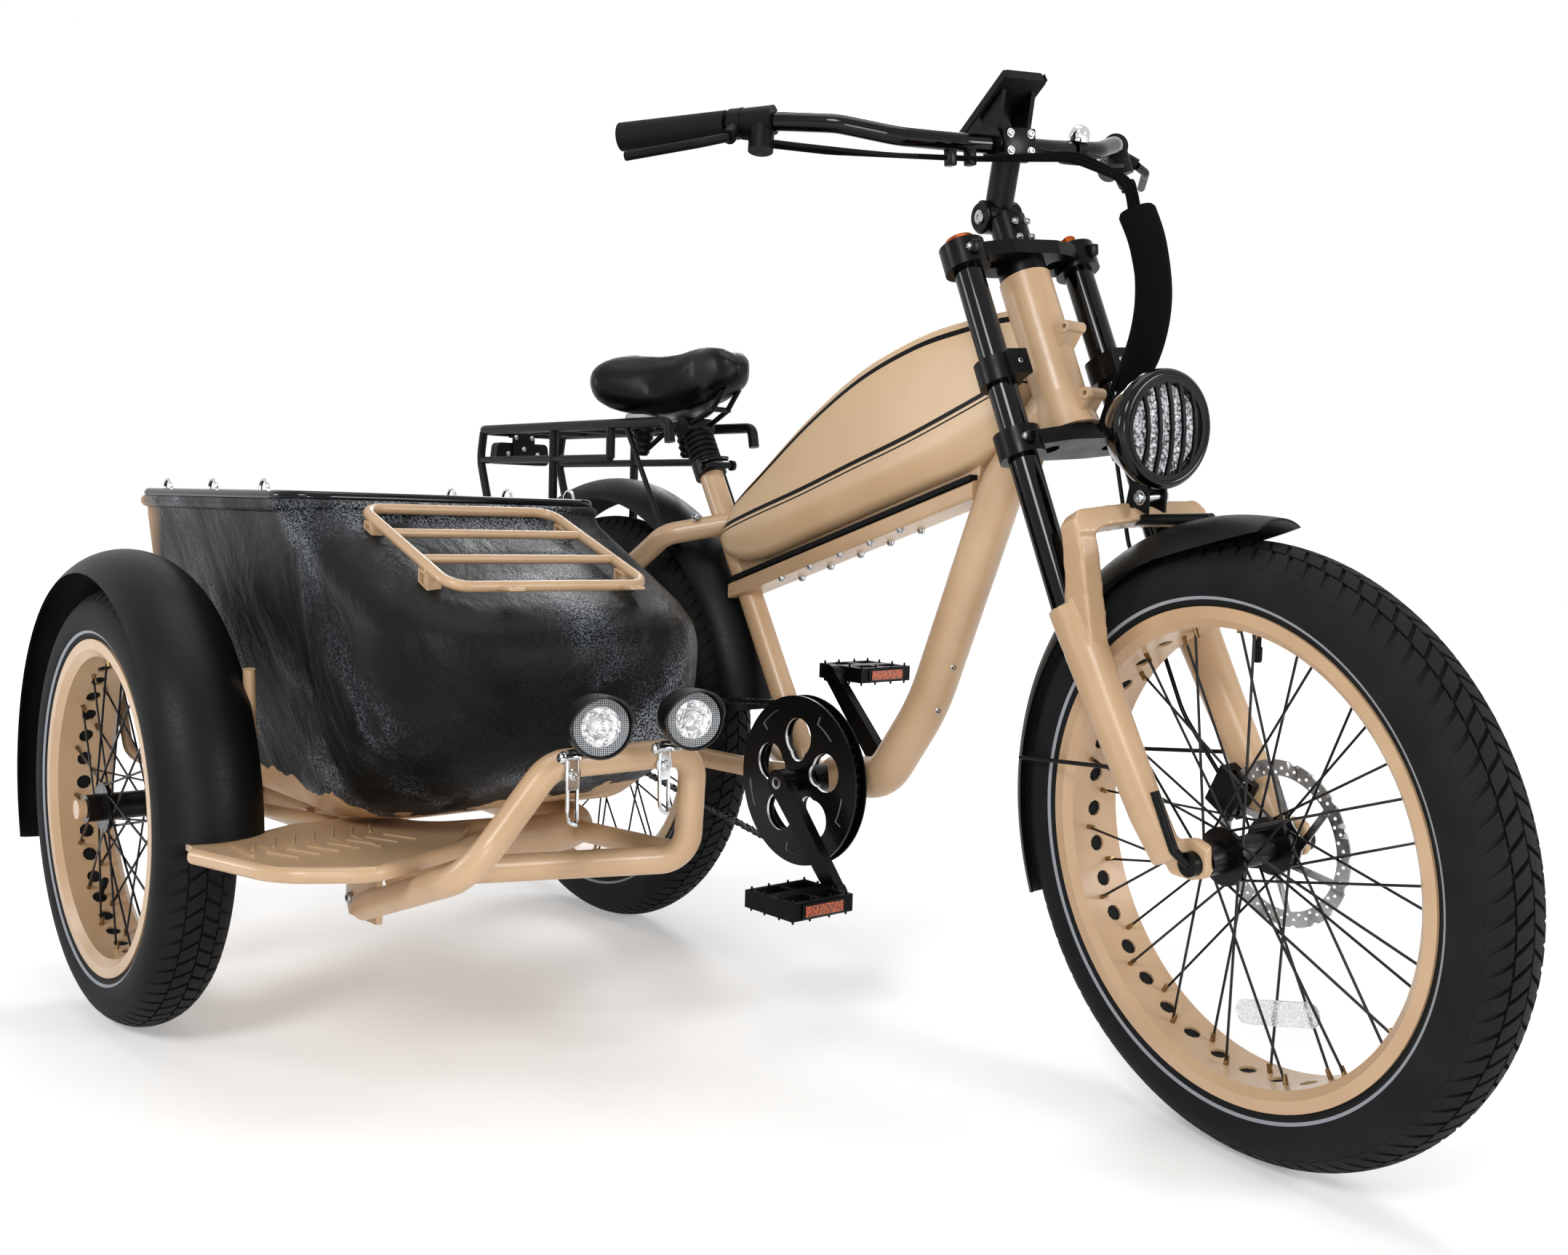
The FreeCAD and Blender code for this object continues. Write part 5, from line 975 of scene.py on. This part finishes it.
# %% Bullet lamps
AIM = Vector((math.cos(math.radians(16)), -math.sin(math.radians(16)), 0))
shells = bmesh.new()
bowls = bmesh.new()
rings = bmesh.new()
lenses = bmesh.new()
wires = bmesh.new()
for y in (-540, -420):
    seat = aimed(at(-430, y, 440), AIM)
    outline = smooth_profile([(0, -0.0640), (0.011, -0.0630), (0.019, -0.0590), (0.0262, -0.0440),
                              (0.0312, -0.0280), (0.0334, -0.0130), (0.0339, 0.0030)], 3)
    turned(shells, outline + [(0.0318, 0.0036), (0.0312, 0.0), (0.0312, -0.012), (0, -0.012)], seat, 48)
    side_way = Vector((0, 0, 1)).cross(AIM).normalized()
    peak = []
    for i in range(25):
        a = math.radians(-8 + 196 * i / 24)
        out = 0.021 * max(math.sin(a), 0.0) ** 0.7
        spoke = side_way * math.cos(a) + Vector((0, 0, 1)) * math.sin(a)
        peak.append([seat.translation + spoke * r + AIM * h for r, h in
                     ((0.0341, 0.0000), (0.0346, out + 0.0010), (0.0326, out + 0.0010), (0.0321, 0.0000))])
    skin(shells, peak)
    turned(rings, [(0.0308, 0.0004), (0.0300, 0.0016), (0.0215, 0.0008), (0.0212, -0.0010)], seat, 64)
    turned(bowls, [(0.0213, -0.0004), (0.0190, -0.0050), (0.0140, -0.0088), (0.0080, -0.0108), (0, -0.0115)],
           seat, 40)
    for spin in range(12):
        a = math.tau * spin / 12
        spot = seat @ Matrix.Translation((0.0150 * math.cos(a), 0.0150 * math.sin(a), -0.0076))
        peg(bowls, 0.0038, 0.0022, spot @ Matrix.Rotation(a, 4, "Z"), 5, 0.0012)
    turned(lenses, [(0.0105, -0.0060), (0.0105, 0.0000), (0.0085, 0.0022), (0.0045, 0.0034), (0, 0.0037)],
           seat, 32)
    turned(lenses, [(0.0070, -0.0095), (0.0070, -0.0060), (0, -0.0060)], seat, 24)
    for side in (-1, 1):
        loop = [at(-482, y + side * 6, 398), at(-482, y + side * 6, 350),
                at(-480, y + side * 5, 334), at(-474, y, 330)]
        pipe(wires, loop, 0.0022, 8, 4)
    turned(wires, [(0, 0), (0.0105, 0), (0.0105, 0.0022), (0, 0.0022)], aimed(at(-484, y, 383), (1, 0, 0)), 24)
    bolt(wires, at(-481.6, y, 383), (1, 0, 0), 0.0062, 0.005)
    soft_block(wires, (0.004, 0.016, 0.044), Matrix.Translation(at(-482, y, 388)), 0.001, 1)
    peg(wires, 0.0032, 0.040, aimed(at(-470, y - 20, 404), (0, 1, 0)), 12)
    bolt(wires, at(-470, y - 19, 404), (0, -1, 0), 0.0058, 0.006)
    soft_block(wires, (0.022, 0.010, 0.005), Matrix.Translation(at(-471, y, 404)), 0.001, 1)
lamp_paint = powder_coat("black lamp enamel", "050506", "090A0B", 0.34)
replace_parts(piece("lamp_shells", shells, lamp_paint, "frame", 40), "bullet_lamps")
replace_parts(piece("lamp_wires", wires, chrome, "frame", 30), "lamp_brackets")
lamp_bowl, s = new_material("aluminised lamp bowl", "F0F2F4", 0.12, 0.5)
ripple = add(lamp_bowl, "TexNoise", {"Scale": 220.0, "Detail": 2.0}, Vector=place(lamp_bowl))
wire(lamp_bowl, ramp(lamp_bowl, ripple.outputs["Fac"], [(0.35, "A8ABB0"), (0.55, "FFFFFF")]), s, "Base Color")
bump(lamp_bowl, s, ripple.outputs["Fac"], 0.002, 0.8)
piece("lamp_bowls", bowls, lamp_bowl, "frame", 20)
prism_ring, s = new_material("prismatic reflector ring", "C4C7CA", 0.2, IOR=1.49)
net = add(prism_ring, "TexWave", {"Scale": 150.0, "bands_direction": "Y"}, Vector=place(prism_ring))
cross = add(prism_ring, "TexWave", {"Scale": 150.0, "bands_direction": "Z"}, Vector=place(prism_ring))
crossed = calc(prism_ring, "MULTIPLY", net.outputs["Fac"], cross.outputs["Fac"])
wire(prism_ring, ramp(prism_ring, crossed, [(0.10, "3A3D40"), (0.45, "B4B7BA")]), s, "Base Color")
bump(prism_ring, s, crossed, 0.0006, 0.8)
piece("lamp_rings", rings, prism_ring, "frame", 40)
piece("lamp_lenses", lenses, clear, "frame", 30)
print("two bullet lamps")

# %% [markdown]
# ## Stem, crowns and display
# Small fittings make the front end look real: silver bolts in the bar's clamp, the pivot's disc,
# preload caps on the stanchions, the pinch bolts, the clips that gather the cables, and the
# glass of the display.

# %% Stem, crowns and display
PIVOT_DISC = [(0, 0), (0.0185, 0), (0.0185, 0.002), (0.017, 0.0035), (0.0125, 0.0036), (0.0120, 0.0028),
              (0, 0.0028)]
PIVOT_BOLT = [(0, 0), (0.0085, 0), (0.0085, 0.0022), (0.0065, 0.0034), (0.0030, 0.0034), (0.0028, 0.0020),
              (0, 0.0020)]
PRELOAD_CAP = [(0, 0), (0.0195, 0), (0.0195, 0.005), (0.0170, 0.0095), (0.0090, 0.0110), (0.0085, 0.0090),
               (0, 0.0090)]
LOCKOUT_CAP = [(0, 0), (0.0150, 0), (0.0150, 0.004), (0.0095, 0.0050), (0.0090, 0.0150), (0.0070, 0.0170),
               (0, 0.0170)]
DISPLAY_AT = at(-382, 0, 1154)
bright = bmesh.new()
dark = bmesh.new()
soft_block(dark, (0.006, 0.046, 0.034), Matrix.Translation(at(-355, 0, 1112)), 0.002, 2)
for y in (-15, 15):
    for z in (-10, 10):
        bolt(bright, at(-352, y, 1112 + z), (1, 0, 0), 0.0042, 0.0035)
for side in (-1, 1):
    turned(dark, PIVOT_DISC, aimed(fork(-15, 806, side * 23), (0, side, 0)), 40)
    turned(bright, PIVOT_BOLT, aimed(fork(-15, 806, side * 25.8), (0, side, 0)), 24)
    for along in (757, 778):
        bolt(bright, fork(23, along, side * 9), STEER_FWD, 0.0036, 0.004)
    for along in (498, 737):
        soft_block(dark, (0.014, 0.012, 0.014), Matrix.Translation(fork(31, along, side * 88)), 0.002, 2)
        bolt(bright, fork(31, along, side * 94.5), (0, side, 0), 0.0034, 0.003)
    bolt(bright, fork(35, 588, side * 75), STEER_FWD, 0.0036, 0.003)
for y in (-96, -74):
    soft_block(dark, (0.013, 0.011, 0.020), Matrix.Translation(at(-362 + 0.38 * (y + 96), y, 1091)), 0.002, 2)
piece("front_bolts", bright, steel, "fork", 30, TURN)
piece("front_fittings", dark, anodised, "fork", 30, TURN)
caps = bmesh.new()
turned(caps, PRELOAD_CAP, aimed(fork(3.5, 752, -83), STEER_UP), 40)
turned(caps, LOCKOUT_CAP, aimed(fork(3.5, 752, 83), STEER_UP), 32)
orange, s = new_material("orange anodised cap", "B4531D", 0.3, 0.8)
vary(orange, s, "Base Color", 0.003, 3, (0.3, "C25C22"), (0.8, "8A3B14"))
piece("preload_caps", caps, orange, "fork", 30, TURN)
lean = math.radians(31)
ahead = Vector((math.cos(lean), 0, math.sin(lean)))
above = Vector((-math.sin(lean), 0, math.cos(lean)))
flat = Matrix((ahead, Vector((0, 1, 0)), above)).transposed().to_4x4()
screen, s = new_material("display glass", "040405", 0.06, IOR=1.5, Coat_Weight=1.0)
vary(screen, s, "Roughness", 0.02, 2, (0.3, 0.04), (0.8, 0.1))
bm = bmesh.new()
soft_block(bm, (0.094, 0.052, 0.0010), Matrix.Translation(DISPLAY_AT + 0.0125 * above) @ flat, 0.0004, 1)
piece("display_pane", bm, screen, "fork", 30, TURN)
bm = bmesh.new()
hood = Matrix.Translation(DISPLAY_AT + 0.0095 * above) @ flat
for across in (-1, 1):
    soft_block(bm, (0.104, 0.0022, 0.010), hood @ Matrix.Translation((0, across * 0.0302, -0.003)), 0.0006, 1)
piece("display_frame", bm, plastic, "fork", 30, TURN)
print("front end dressed")

# %% [markdown]
# ## Bar controls
# The left side of the bar carries a small round bell, and wires run from each control to the
# middle. A lever's blade has a ball at its end, so that it can't cut a hand.

# %% Bar controls
bm = bmesh.new()
dome = smooth_profile([(0, 0.0235), (0.0060, 0.0225), (0.0105, 0.0190), (0.0128, 0.0130), (0.0132, 0.0060)], 3)
turned(bm, dome + [(0.0120, 0.0060), (0.0110, 0.0140), (0, 0.0180)],
       aimed(at(-383, 112, 1122), (0.5, 0, 1)), 32)
piece("bell_dome", bm, chrome, "fork", 50, TURN)
bm = bmesh.new()
ring = aimed(at(-383, 112, 1115), (0.05, 1, 0.03))
turned(bm, [(0.0112, -0.006), (0.0140, -0.006), (0.0140, 0.006), (0.0112, 0.006)], ring, 24, True)
peg(bm, 0.0035, 0.014, aimed(at(-380, 112, 1126), (0.5, 0, 1)), 12)
piece("bell_clamp", bm, plastic, "fork", 30, TURN)
bm = bmesh.new()
for route in ([(-505, -292, 1128), (-450, -238, 1112), (-400, -160, 1098), (-372, -100, 1093)],
              [(-505, 292, 1128), (-440, 236, 1112), (-390, 150, 1100), (-350, 60, 1092), (-300, 24, 1084)]):
    pipe(bm, [at(*p) for p in route], 0.0024, 8, 5)
piece("control_wires", bm, soft, "fork", 60, TURN)
print("bar controls dressed")

# %% [markdown]
# ## Cable sleeve
# A neoprene sleeve gathers the cables between the bar and the lower crown. Over a flat bundle it
# lies wide and thin, with a hem at each end, so its sections are flattened rings along the CAD
# sleeve's line, and the cables fan out below it in three ends with crimped tips.

# %% Cable sleeve
bm = bmesh.new()
SLEEVE = [(-203, 42, 1014), (-184, 42, 972), (-174, 41, 912), (-184, 37, 858), (-213, 32, 812)]
centre_line = smooth_line([at(*p) for p in SLEEVE], 6)
rings = []
for i, spot in enumerate(centre_line):
    share = i / (len(centre_line) - 1)
    ahead = (centre_line[min(i + 1, len(centre_line) - 1)] - centre_line[max(i - 1, 0)]).normalized()
    out_way = ahead.cross(Vector((0, 1, 0))).normalized()
    wide, thin = 0.0215 - 0.004 * share, 0.0125 - 0.002 * share
    if i in (0, len(centre_line) - 1):
        wide, thin = wide - 0.003, thin - 0.003
    broad = Vector((0, 0.8, 0)) + out_way * 0.6
    narrow = out_way * 0.8 - Vector((0, 0.6, 0))
    turns = [math.tau * k / 20 for k in range(20)]
    rings.append([spot + wide * math.cos(a) * broad + thin * math.sin(a) * narrow for a in turns])
skin(bm, rings)
piece("sleeve_cover", bm, sleeve_cloth, "fork", 50, TURN)
print("sleeve with", len(rings), "rings")

# %% [markdown]
# ## Pedals and cranks
# Small pins stand out of a platform pedal so that a shoe doesn't slip, and amber reflectors face
# forward and back. Each crank ends in a dust cap and a silver pedal thread.

# %% Pedals and cranks
CRANK_LENGTH = 0.172
DUST_CAP = [(0.0050, 0), (0.0085, 0), (0.0085, 0.0008), (0.0078, 0.0012), (0.0055, 0.0012), (0.0050, 0.0006)]


def crank_end(side, out):
    """The eye of the crank on one side, this far out from the bicycle's middle."""
    a = math.radians(-47 if side < 0 else 133)
    return CRANK_AT + Vector((CRANK_LENGTH * math.cos(a), side * out, CRANK_LENGTH * math.sin(a)))


for name, side in (("right", -1), ("left", 1)):
    eye = crank_end(side, 0.163)
    pins = bmesh.new()
    lights = bmesh.new()
    for dx in (-40, -14, 14, 40):
        for dy in (-44, -16, 16, 44):
            for up in (-1, 1):
                if abs(dx) == 40 or abs(dy) == 44:
                    spot = eye + Vector((dx, dy, up * 10.8)) / 1000
                    peg(pins, 0.0019, 0.0048, aimed(spot, (0, 0, up)), 8, 0.0013)
    for along in (-1, 1):
        plate_at = Matrix.Translation(eye + Vector((along * 0.0472, 0, 0)))
        soft_block(pins, (0.003, 0.070, 0.018), plate_at, 0.0008, 1)
        lens_at = Matrix.Translation(eye + Vector((along * 0.0492, 0, 0)))
        soft_block(lights, (0.0016, 0.062, 0.0135), lens_at, 0.0004, 1)
    piece("pedal_pins_" + name, pins, anodised, "pedal_" + name, 30)
    piece("pedal_lights_" + name, lights, amber, "pedal_" + name, 30)
bm = bmesh.new()
for side in (-1, 1):
    turned(bm, DUST_CAP, aimed(CRANK_AT + Vector((0, side * 0.1052, 0)), (0, side, 0)), 32, True)
    turned(bm, [(0.0072, 0), (0.0092, 0), (0.0092, 0.0012), (0.0072, 0.0012)],
           aimed(crank_end(side, 0.1126), (0, side, 0)), 24, True)
piece("crank_trim", bm, steel, "cranks", 40)
print("pedals dressed")

# %% [markdown]
# ## Bolts and fittings of the frame
# Bottle-cage bolts sit in the down tube, two rows hang under the tray of the tank, and a thin black
# strip lies between tray and tank. A small lever closes the seat clamp.

# %% Bolts and fittings of the frame
bm = bmesh.new()
for x, z in ((-437, 479), (-461, 421)):
    bolt(bm, at(x, -8, z), (0.94, -0.26, -0.22), 0.0046, 0.0042)
for x in (-527, -583, -640, -700, -760):
    low = 690 + (x + 398) * 151 / 474
    for y in (-19, 19):
        bolt(bm, at(x, y, low + 0.5), (0.3, 0, -0.95), 0.0050, 0.0055)
for y in (-46, 46):
    bolt(bm, at(-893 - 30, y * 1.05, 656), (0.1, y / 46, 0.6), 0.006, 0.006)
piece("frame_bolts", bm, steel, "frame", 30)
SEAT_UP = (Vector((-954, 0, 722)) - Vector((-709, 0, 300))).normalized()
clamp_at = Vector((-709, 0, 300)) + SEAT_UP * 496 + Vector((22, 0, 6))
bm = bmesh.new()
# A thin black strip, 54 mm wide and 7 mm high, lies on the tray under the tank's belly.
strip = []
for x, lift in ((-402, 712), (-864, 712 - 151 * 462 / 474)):
    strip.append([at(x, y, lift + z) for y, z in ((-27, 0.3), (27, 0.3), (27, 7), (-27, 7))])
skin(bm, strip)
piece("tank_strip", bm, soft, "frame", 30)
bm = bmesh.new()
for y, aim in ((-24, -1), (24, 1)):
    turned(bm, [(0, 0), (0.008, 0), (0.008, 0.005), (0.006, 0.007), (0, 0.007)],
           aimed(at(clamp_at.x, y, clamp_at.z), (0, aim, 0)), 20)
lever = [at(clamp_at.x + x, y, clamp_at.z + z)
         for x, y, z in ((0, -29, 0), (10, -31, 4), (30, -26, 8), (44, -16, 8))]
pipe(bm, lever, [0.0055, 0.005, 0.0042, 0.0038], 10, 4)
piece("seat_lever", bm, gloss, "frame", 40)
print("frame fittings")

# %% [markdown]
# ## Tail light and rack plate
# A black housing holds a red lens, with its small bolts on the inner plate.

# %% Tail light and rack plate
red, s = new_material("red lens", "7A0A0C", 0.12, IOR=1.49, Coat_Weight=0.6)
facets = cell_net(red, 260.0)
wire(red, ramp(red, facets.outputs["Distance"], [(0.2, "A50E12"), (0.7, "4C0507")]), s, "Base Color")
bump(red, s, facets.outputs["Distance"], 0.0008, 0.8)
bm = bmesh.new()
soft_block(bm, (0.0018, 0.088, 0.026), Matrix.Translation(at(-1522.6, 0, 757)), 0.0007, 2)
piece("tail_lens", bm, red, "frame", 30)
bm = bmesh.new()
for y, z in ((-16, 786), (16, 786), (0, 766), (-30, 757), (30, 757)):
    bolt(bm, at(-1497 + (0 if z > 760 else -3), y, z), (1, 0, 0), 0.0034, 0.0026)
piece("tail_bolts", bm, steel, "frame", 30)
print("tail light dressed")

# %% [markdown]
# ## Sidecar fittings
# The nose rack stands on four bent strips. The step has raised ribs against slipping, and
# socket bolts hold the hanger and the axle.

# %% Sidecar fittings
bm = bmesh.new()
for share in (0.16, 0.78):
    x = -846 + 224 * share
    z = 657 - 82 * share - 4
    low = 17 if share > 0.5 else 11
    for y, out in ((-610, -1), (-348, 1)):
        section = [(-11, 0), (11, 0), (11, -low), (-11, -low)]
        hole = [(-8.4, -2.6), (8.4, -2.6), (8.4, 2.6 - low), (-8.4, 2.6 - low)]
        rings = []
        for dy, shape in ((-9, section), (9, section), (9, hole), (-9, hole), (-9, section)):
            rings.append([at(x + a, y + dy, z + b - a * 0.34) for a, b in shape])
        skin(bm, rings, False)
bmesh.ops.remove_doubles(bm, verts=bm.verts, dist=0.00001)
soften(bm, 0.0006, 1)
piece("rack_feet", bm, sand, "frame", 30)
bm = bmesh.new()
for i in range(7):
    for lane in (-1, 1):
        middle = at(-716 - 3 * i, -775 + 24 * i + lane * 4, 286.6)
        soft_block(bm, (0.046, 0.0028, 0.0022), Matrix.Translation(middle + Vector((lane * 0.030, 0, 0)))
                    @ Matrix.Rotation(math.radians(lane * 24), 4, "Z"), 0.0006, 1)
piece("step_ribs", bm, sand, "frame", 30)
bm = bmesh.new()
for x, z in ((-800, 198), (-766, 195)):
    bolt(bm, at(x, -640.6, z), (0, -1, 0), 0.0068, 0.006)
for angle in range(0, 360, 60):
    a = math.radians(angle)
    bolt(bm, at(-1100 + 8 * math.cos(a), -861.6, 276 + 8 * math.sin(a)), (0, -1, 0), 0.0022, 0.0015)
piece("sidecar_bolts", bm, steel, "frame", 30)
hanger = bmesh.new()
outline = [(-812, 236), (-758, 230), (-752, 178), (-806, 176), (-816, 196)]
skin(hanger, [[at(x, -641, z) for x, z in outline], [at(x, -632, z) for x, z in outline]])
soften(hanger, 0.0016, 2)
piece("hanger_plate", hanger, sand, "frame", 30)
balls = bmesh.new()
for side in (-1, 1):
    seat = aimed(fork(24, 110, side * 66), (0, side, 0))
    turned(balls, [(0, 0), (0.005, 0), (0.0052, 0.006), (0.0072, 0.008), (0.0076, 0.012), (0.006, 0.016),
                   (0, 0.017)], seat, 20)
piece("fender_stay_ends", balls, chrome, "fork", 40, TURN)
print("sidecar fittings")

# %% [markdown]
# ## Camera
# The camera stands where the photographer stood. Its place and lens were worked out from the
# wheels' ellipses in the photograph.

# %% Camera
def camera():
    data = bpy.data.cameras.new("Camera")
    data.sensor_width = 36
    data.lens = 34.92
    obj = bpy.data.objects.new("Camera", data)
    scene.collection.objects.link(obj)
    yaw, pitch, roll = (math.radians(a) for a in (139.36, -4.27, 1.63))
    ahead = Vector((math.cos(yaw) * math.cos(pitch), math.sin(yaw) * math.cos(pitch), math.sin(pitch)))
    level = Vector((math.sin(yaw), -math.cos(yaw), 0))
    up = level.cross(ahead)
    right = math.cos(roll) * level + math.sin(roll) * up
    up = math.cos(roll) * up - math.sin(roll) * level
    turn = Matrix((right, up, -ahead)).transposed().to_4x4()
    obj.matrix_world = Matrix.Translation(at(871.38, -1412.25, 664.59)) @ turn
    scene.camera = obj


camera()

# %% [markdown]
# ## Studio
# A pale floor, a white world that the camera, glass and mirrors see at full strength, and large
# soft lamps on both sides. The room gives matt surfaces less light than it shows, so that the
# lamps draw the forms, and their breadth gives the long soft lights on the tubes. The floor glows a
# little more the farther it lies from the middle, as a studio's curved backdrop does, so that it
# has no visible edge.

# %% Studio
def soft_lamp(name, place, size, power, target=(0, 0, 0.5)):
    data = bpy.data.lights.new(name, "AREA")
    data.shape = "DISK"
    data.size = size
    data.energy = power
    obj = bpy.data.objects.new(name, data)
    scene.collection.objects.link(obj)
    obj.location = place
    obj.rotation_euler = (Vector(target) - Vector(place)).to_track_quat("-Z", "Y").to_euler()


soft_lamp("key", (2.2, -3.6, 3.2), 1.4, 104)
soft_lamp("fill", (3.8, 1.4, 1.6), 1.2, 55)
soft_lamp("back", (-3.0, 2.6, 3.0), 1.6, 60)
soft_lamp("side", (-2.6, -3.6, 1.6), 1.2, 35)
soft_lamp("low", (3.0, -2.6, 0.7), 0.8, 26)
soft_lamp("top", (0, 0, 4.6), 3.0, 55)
world = bpy.data.worlds.new("studio")
scene.world = world
world.use_nodes = True
paths = add(world, "LightPath")
seen = calc(world, "MAXIMUM", paths.outputs["Is Camera Ray"], paths.outputs["Is Transmission Ray"])
seen = calc(world, "MAXIMUM", seen, paths.outputs["Is Glossy Ray"])
strength = add(world, "MapRange", {"To Min": 0.22, "To Max": 1.0}, Value=seen)
back = world.node_tree.nodes["Background"]
back.inputs["Color"].default_value = paint("FFFFFF")
world.node_tree.links.new(strength.outputs[0], back.inputs["Strength"])

bm = bmesh.new()
bmesh.ops.create_circle(bm, cap_ends=True, segments=96, radius=14.0)
floor_finish, s = new_material("pale studio floor", "F4F4F4", 0.85)
away = add(floor_finish, "VectorMath", {"operation": "LENGTH"}, i0=place(floor_finish))
glow = add(floor_finish, "MapRange", {"From Min": 0.8, "From Max": 3.6, "To Min": 0.27, "To Max": 0.92},
           Value=away.outputs["Value"])
s.inputs["Emission Color"].default_value = paint("FFFFFF")
wire(floor_finish, glow.outputs[0], s, "Emission Strength")
vary(floor_finish, s, "Base Color", 0.6, 2, (0.3, "F2F2F2"), (0.7, "F6F6F6"))
mesh = bpy.data.meshes.new("floor")
bm.to_mesh(mesh)
bm.free()
floor = bpy.data.objects.new("floor", mesh)
scene.collection.objects.link(floor)
mesh.materials.append(floor_finish)

# %% [markdown]
# ## Finishes of the plain pieces
# The pieces that keep their CAD shape get their finish here, by name.

# %% Finishes of the plain pieces
finishes = {
    sand: ["front_rim", "rear_rim", "side_rim", "frame_tubes", "luggage_rack", "sidecar_chassis",
           "sidecar_axle", "bumper", "step", "tank_rail"],
    black: ["saddle_springs", "rear_rack", "rear_fender", "front_fender", "sidecar_fender", "headlight_grille"],
    gloss: ["handlebar", "fork_stanchions", "pod_rim"],
    spoke_black: ["front_hub_spokes", "rear_hub_spokes", "side_hub_spokes"],
    anodised: ["seatpost", "seat_clamp", "crankset", "rear_caliper", "front_caliper", "fork_crowns",
               "fork_collars", "stem", "front_axle", "pod_latch", "rear_axle"],
    plastic: ["tail_light", "pedal_right", "pedal_left", "bar_controls", "display"],
    soft: ["seatpost_boot", "grips"],
    sleeve_cloth: ["cable_sleeve"],
    chrome: ["pod_loops"],
    guard_finish: ["chainring"],
}
for mat, names in finishes.items():
    for name in names:
        mesh = nodes[name].data
        mesh.materials.clear()
        mesh.materials.append(mat)
print(sum(len(names) for names in finishes.values()), "plain pieces finished")
